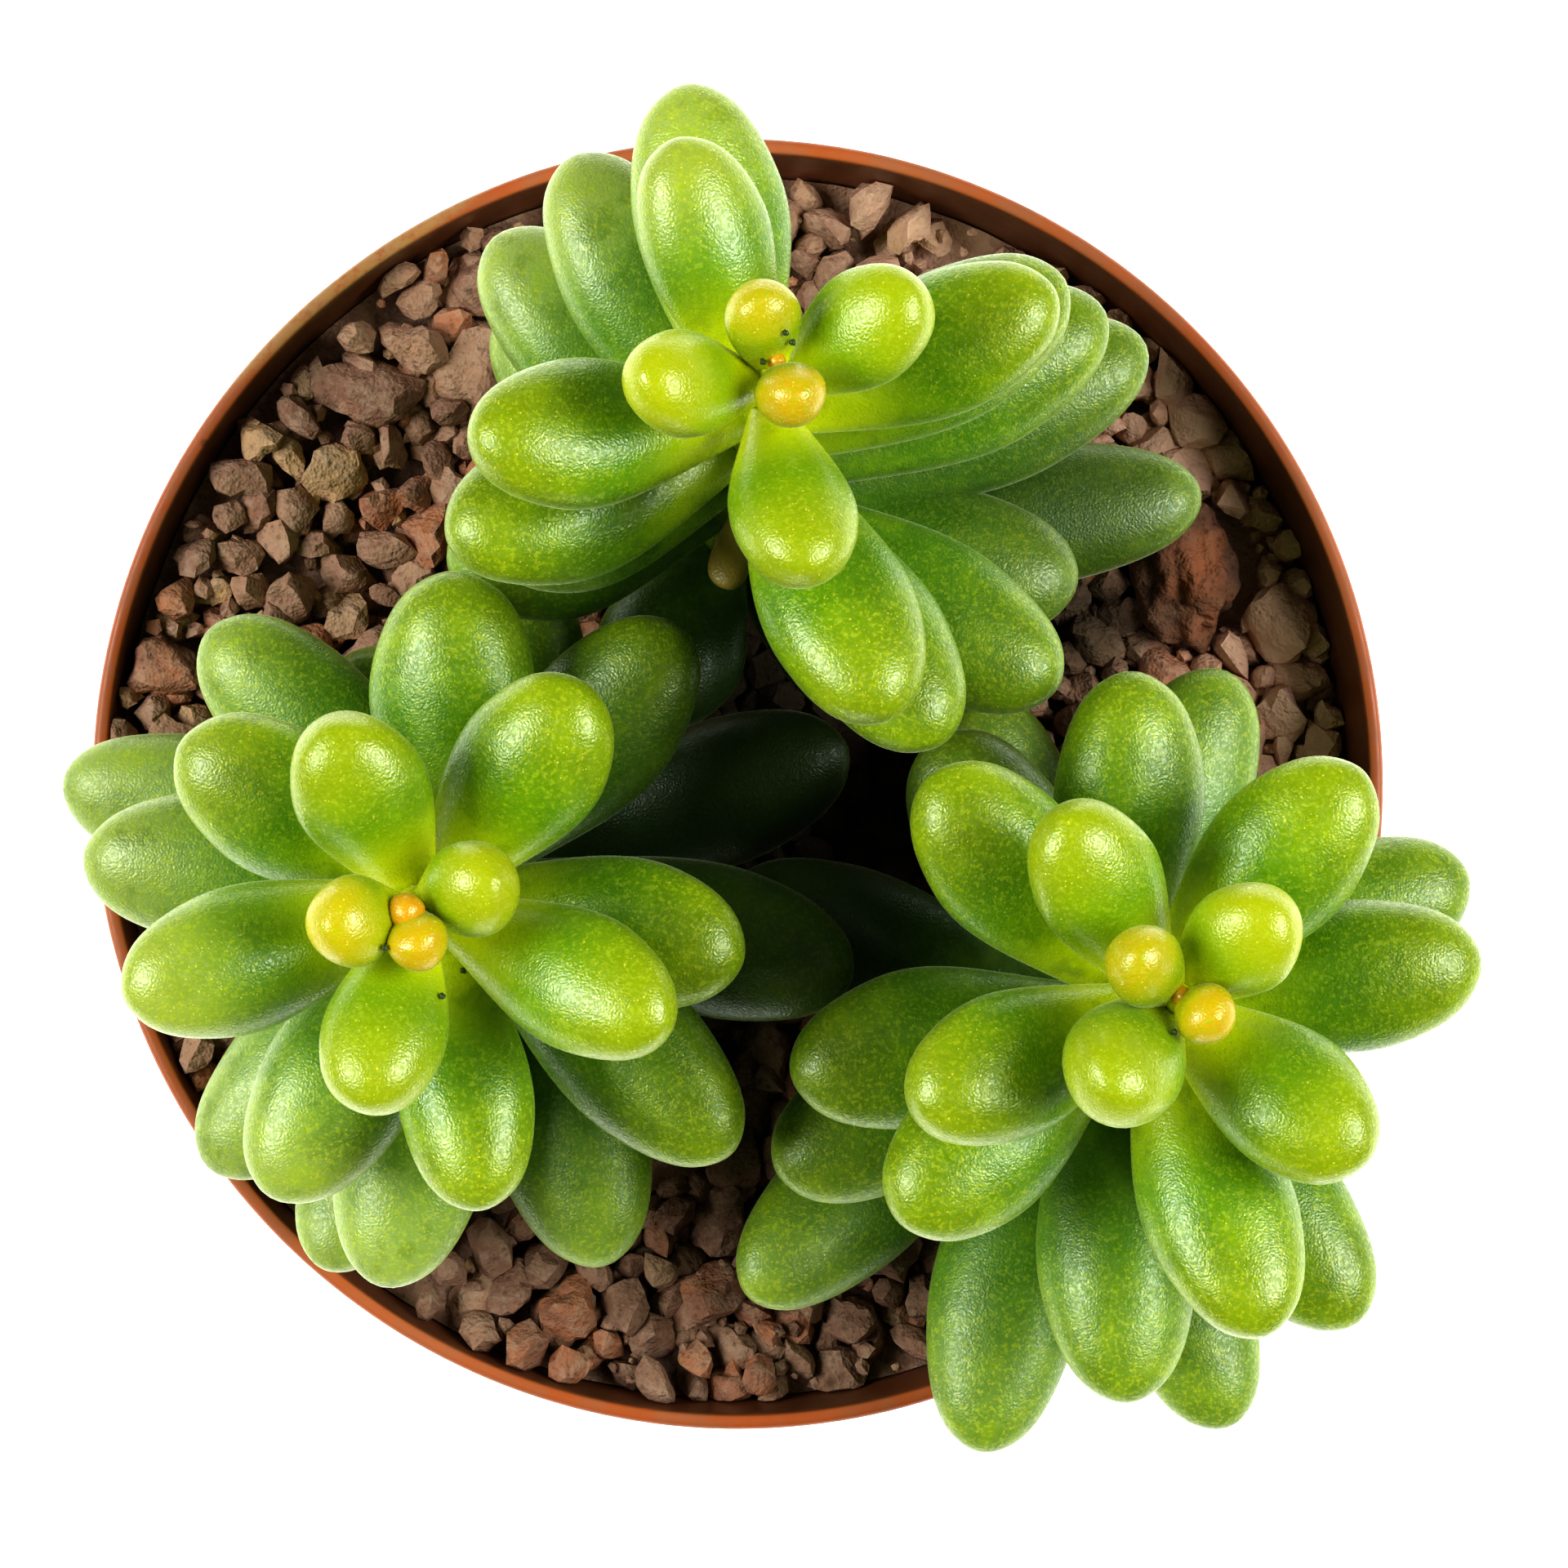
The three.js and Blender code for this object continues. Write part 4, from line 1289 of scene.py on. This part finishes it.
    def rod(self, skin: Skin, start: float, end: float, radius: Sequence[tuple[float, float]],
            rough: float = 0, **values: float) -> None:
        """Adds a round rod along the path: a circle carried down it, with ripples over its surface.

        Args:
            skin: where it goes.
            start: its first distance down from the tip.
            end: its last.
            radius: pairs of distance down and radius, between which the radius goes evenly.
            rough: depth of the ripples in millimetres.
            **values: values for all its points.
        """
        columns, rings = 40, max(8, int(2.5 * (end - start)))
        down = np.concatenate([[start], np.linspace(start, end, rings), [end]])
        point, way = self.at(down)
        side = unit(np.array([1.0, 0, 0]) - way * way[:, :1])
        across = np.cross(way, side)
        size = np.interp(down, *zip(*radius))
        size[[0, -1]] = 0
        angle = -np.linspace(0, 2 * math.pi, columns, endpoint=False)[None, :, None]
        around = np.cos(angle) * side[:, None] + np.sin(angle) * across[:, None]
        ground = 3 * around
        ground[..., 2] += down[:, None]
        bumps = rough * ripples(ground, 2.2, 14, 6) * (size[:, None] > 0)
        points = capped(point[:, None] + around * (size[:, None] + bumps)[..., None])
        skin.add(points, capped_faces(rings, columns), deep=shaded(points), **values)

    def scars(self, down: np.ndarray) -> np.ndarray:
        """Rings of swollen leaf scars on the bark: a bell for each lost leaf's place."""
        places = np.arange(self.green_end, self.length, 2.1)
        return 0.22 * np.exp(-(((down[:, None] - places[None]) / 0.45) ** 2)).sum(-1)

    def strew(self, leaves: Skin, crown: Skin) -> None:
        """Lays the black crumbs, small rippled balls, each on the leaves' highest point near it.

        Args:
            leaves: the leaves that they lie on.
            crown: the skin that they are added to.
        """
        directions, faces = ball_template(2)
        points = np.concatenate(leaves.points)
        for number, spot in enumerate(self.crumbs):
            near = points[np.hypot(*(points[:, :2] - np.array(spot)).T) < 0.3]
            radius = (0.16 + 0.05 * math.sin(3 * number)) * (1 + 0.2 * ripples(directions, 1.1, 8, number))
            crown.add(directions * radius[:, None] + np.array([*spot, near[:, 2].max()]), [faces],
                      age=1, along=0, tone=0, deep=1)

    def build(self, leaf_skin: LeafSkin, young_skin: LeafSkin, bark: Bark) -> None:
        """Makes the stem's three pieces: crown, leafy stretch and woody foot.

        Args:
            leaf_skin: finish of the leafy stretch.
            young_skin: finish of the crown.
            bark: finish of the woody foot.
        """
        draw = np.random.default_rng(len(self.name) + self.leaves)
        tones = draw.uniform(0, 1, self.leaves + 1)
        crown, foliage, wood = Skin(), Skin(), Skin()
        peak, tip, green, woody, root = self.radii
        for i in range(self.leaves + 1):
            if i not in self.fallen:
                self.leaf(i, tones[i]).add_to(crown if i <= self.crown_leaves else foliage)
        if self.withered:
            self.dry_leaf(*self.withered).add_to(foliage)
        self.strew(Skin([*crown.points, *foliage.points]), crown)
        self.rod(crown, 0, self.crown_end, [(0, peak), (self.crown_end, tip)], age=0.1, along=0, tone=0)
        green_start = self.crown_end + self.gap
        self.rod(foliage, green_start, self.green_end, [(green_start, tip), (self.green_end, green)],
                 rough=self.green_rough, age=0.4, along=0, tone=0)
        wood_start, wood_end = self.green_end + self.gap, self.length + self.root_length
        row = np.linspace(wood_start, wood_end, 90)
        size = np.interp(row, (wood_start, self.length, wood_end), (woody, woody, root)) + self.scars(row)
        self.rod(wood, wood_start, wood_end, list(zip(row, size)), rough=self.wood_rough)
        for skin, piece, finish, node, slot in (
            (crown, "crown_leaves", young_skin, "crown", "young_leaf"),
            (foliage, "leaves", leaf_skin, "leafy_stem", "leaf"),
            (wood, "bark", bark, "woody_stem", "bark"),
        ):
            dress(skin.build(f"{self.name}_{piece}", finish.make()), f"{self.name}_{node}")


def three_stems() -> list[LeafyStem]:
    """The three stems of the plant, each leaf nudged from the rules as it grew."""
    left = LeafyStem("left", (-15.6, -6.2, 96), (-15, -5, 76.5), (-10, -4, 50), 26, Growth.SPIRAL, {
        1: (-12, 1.5), 2: (23, 1.2, -2), 3: (-6, 0.82, -4, 0.88), 4: (8, 1.04), 5: (2, 0.86, -2),
        6: (1, 1, 0, 0.96), 7: (0, 0.98), 8: (-7, 0.81), 9: (-2, 0.9, 0, 0.9), 10: (4, 0.82),
        11: (-18, 0.86, 0, 0.97), 12: (11, 0.95), 13: (-4, 0.85, 0, 1.1), 14: (3, 1.03), 15: (-1,),
        16: (9, 0.9), 17: (-4, 1.09, 0, 1.05), 18: (12, 0.95), 19: (0, 1.04, -6), 20: (17, 1.05),
        21: (10, 0.8), 22: (-8, 1.05, 0, 1.1), 23: (11, 1.14, -5), 24: (0, 0.95), 25: (5, 1.12, -15),
        26: (20, 0.7, -23),
    }, crumbs=((-13.5, -9.3), (-14.1, -10.3), (-16.7, -7.9)))
    right = LeafyStem("right", (21.6, -10.3, 98), (20, -11, 78.5), (15, -14, 50), 28, Growth.SPIRAL, {
        1: (20, 1.4), 2: (-22, 1.15, -4, 0.9), 3: (16, 1), 4: (-22, 0.93, -18, 0.97),
        5: (12, 0.91, 0, 0.95), 6: (-15, 0.88), 7: (6, 0.89), 8: (-11, 0.9), 9: (5,), 10: (-9, 0.87),
        11: (0, 0.93), 12: (-8, 0.88), 13: (-2, 0.88), 14: (-9, 1.04), 15: (15, 0.9), 16: (-19, 1),
        17: (9, 1.03, 0, 1.05), 18: (-2, 0.83),
        19: (-30, 0.8), 20: (-3, 0.93), 21: (-5, 0.95), 22: (-6, 1.12), 23: (5, 0.95, 3), 24: (0, 0.94, -3),
        25: (15, 1.12, 0, 1.07), 26: (0, 0.85), 28: (31, 1.05, -5),
    }, fallen=(27,), bud=0.55, crumbs=((21.2, -11.9),))
    top = LeafyStem("top", (2.1, 20, 99), (0, 15, 78.5), (-2, 9, 50), 25, Growth.CROSSED, {
        1: (4, 1.8, 8, 1.12), 2: (0, 1.05, -8, 0.85), 3: (8, 1.15, 0, 0.95), 4: (11, 0.9, -8, 0.92),
        5: (-6, 0.9, 0, 0.9), 6: (-2, 0.92, 0, 0.93), 7: (2, 0.96), 8: (4, 0.93, 0, 0.95), 9: (4, 0.96),
        10: (-15, 0.98), 11: (8, 0.89), 12: (8, 0.96), 13: (12, 0.94), 14: (0, 0.94), 15: (0, 0.72),
        16: (2, 1.06), 17: (34, 0.98), 18: (11, 0.92), 19: (-5, 0.76), 20: (-4, 1.16), 21: (54, 0.9),
        22: (10, 0.8), 23: (42, 0.55), 24: (-24, 1.22), 25: (25, 0.65),
    }, bud=0.5, crumbs=((2.9, 21.1), (1.5, 20.2), (2.6, 21.5)), withered=(21, -98, 94, 5.5, 2.7))
    return [left, right, top]


# Studio

@dataclass
class Studio:
    """A plain pale floor, two soft lights at the sides and a camera straight above.

    Attributes:
        camera_place: where the camera hangs, in metres.
        lens, sensor: its focal length and the width of its sensor.
        light_out, light_back, light_up: how far the lights stand from the axis, in metres.
        light_aim: the height that they are turned to, in metres.
        light_size, light_power: their width in metres and their power in watts.
        sky: strength of the white all round.
        floor_reach: from the axis to the floor's edge, in metres.
        floor_grey, floor_rough, floor_glow: its colour, roughness and glow.
    """

    camera_place: Triple = (0.0025, 0.0, 0.392)
    lens: float = 140
    sensor: float = 36
    light_out: float = 0.54
    light_back: float = 0.03
    light_up: float = 0.60
    light_aim: float = 0.08
    light_size: float = 0.44
    light_power: float = 4.55
    sky: float = 0.06
    floor_reach: float = 1.5
    floor_grey: float = 0.9
    floor_rough: float = 0.7
    floor_glow: float = 0.9

    def build(self) -> None:
        """Makes floor, sky, lights and camera."""
        scene = bpy.context.scene
        scene.view_settings.view_transform = "Standard"
        scene.view_settings.look = "High Contrast"
        self.floor()
        world = bpy.data.worlds.new("studio")
        scene.world = world
        world.use_nodes = True
        background = world.node_tree.nodes["Background"].inputs
        background["Color"].default_value = (1, 1, 1, 1)
        background["Strength"].default_value = self.sky
        for name, side in (("left_softbox", -1), ("right_softbox", 1)):
            light = bpy.data.lights.new(name, "AREA")
            light.shape = "SQUARE"
            light.size = self.light_size
            light.energy = self.light_power
            lamp = new_object(name, light)
            lamp.location = (side * self.light_out, self.light_back, self.light_up)
            sight = Vector((0, 0, self.light_aim)) - lamp.location
            lamp.rotation_euler = sight.to_track_quat("-Z", "Y").to_euler()
        lens = bpy.data.cameras.new("camera")
        lens.lens = self.lens
        lens.sensor_width = self.sensor
        scene.camera = new_object("camera", lens)
        scene.camera.location = self.camera_place
        LOG.info("studio is ready")

    def floor(self) -> None:
        """A wide pale floor that glows a little, so that it stays white under the plant."""
        reach = self.floor_reach
        mesh = bpy.data.meshes.new("floor")
        mesh.from_pydata([(-reach, -reach, 0), (reach, -reach, 0), (reach, reach, 0), (-reach, reach, 0)],
                         [], [(0, 1, 2, 3)])
        material = bpy.data.materials.new("pale_floor")
        material.use_nodes = True
        shader = material.node_tree.nodes["Principled BSDF"].inputs
        shader["Base Color"].default_value = (self.floor_grey, self.floor_grey, self.floor_grey, 1)
        shader["Roughness"].default_value = self.floor_rough
        shader["Emission Color"].default_value = (1, 1, 1, 1)
        shader["Emission Strength"].default_value = self.floor_glow
        mesh.materials.append(material)
        floor = new_object("floor", mesh)


def main() -> None:
    """Builds the studio and every piece of the potted plant, in order from the outside in."""
    logging.basicConfig(level=logging.INFO, format="%(name)s: %(message)s")
    effects = Effects()
    Studio().build()
    stems = three_stems()
    pot = Pot(PotPlastic("pot_plastic", effects))
    pot.build()
    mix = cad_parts["potting_mix"]
    mix.data.materials.clear()
    mix.data.materials.append(PeatMix("peat_mix", effects).make())
    LOG.info("potting_mix: the frame's own, with a finish")
    grit = Grit(LavaRock("lava_rock", effects), pot, stems)
    grit.build()
    rust = ((0, (0.31, 0.125, 0.06)), (0.3, (0.13, 0.072, 0.046)), (1, (0.19, 0.118, 0.078)))
    red_rock = LavaRock("red_lava_rock", effects, rust, dust=(0.25, 0.145, 0.09), pit=(0.04, 0.025, 0.018))
    grit.build_stone(red_rock)
    for stem in stems:
        leaf_skin = LeafSkin(f"{stem.name}_leaf_skin", effects)
        crown_skin = LeafSkin(f"{stem.name}_crown_skin", effects, sheen=0.25)
        stem.build(leaf_skin, crown_skin, Bark(f"{stem.name}_bark_skin", effects))


if __name__ == "__main__":
    main()
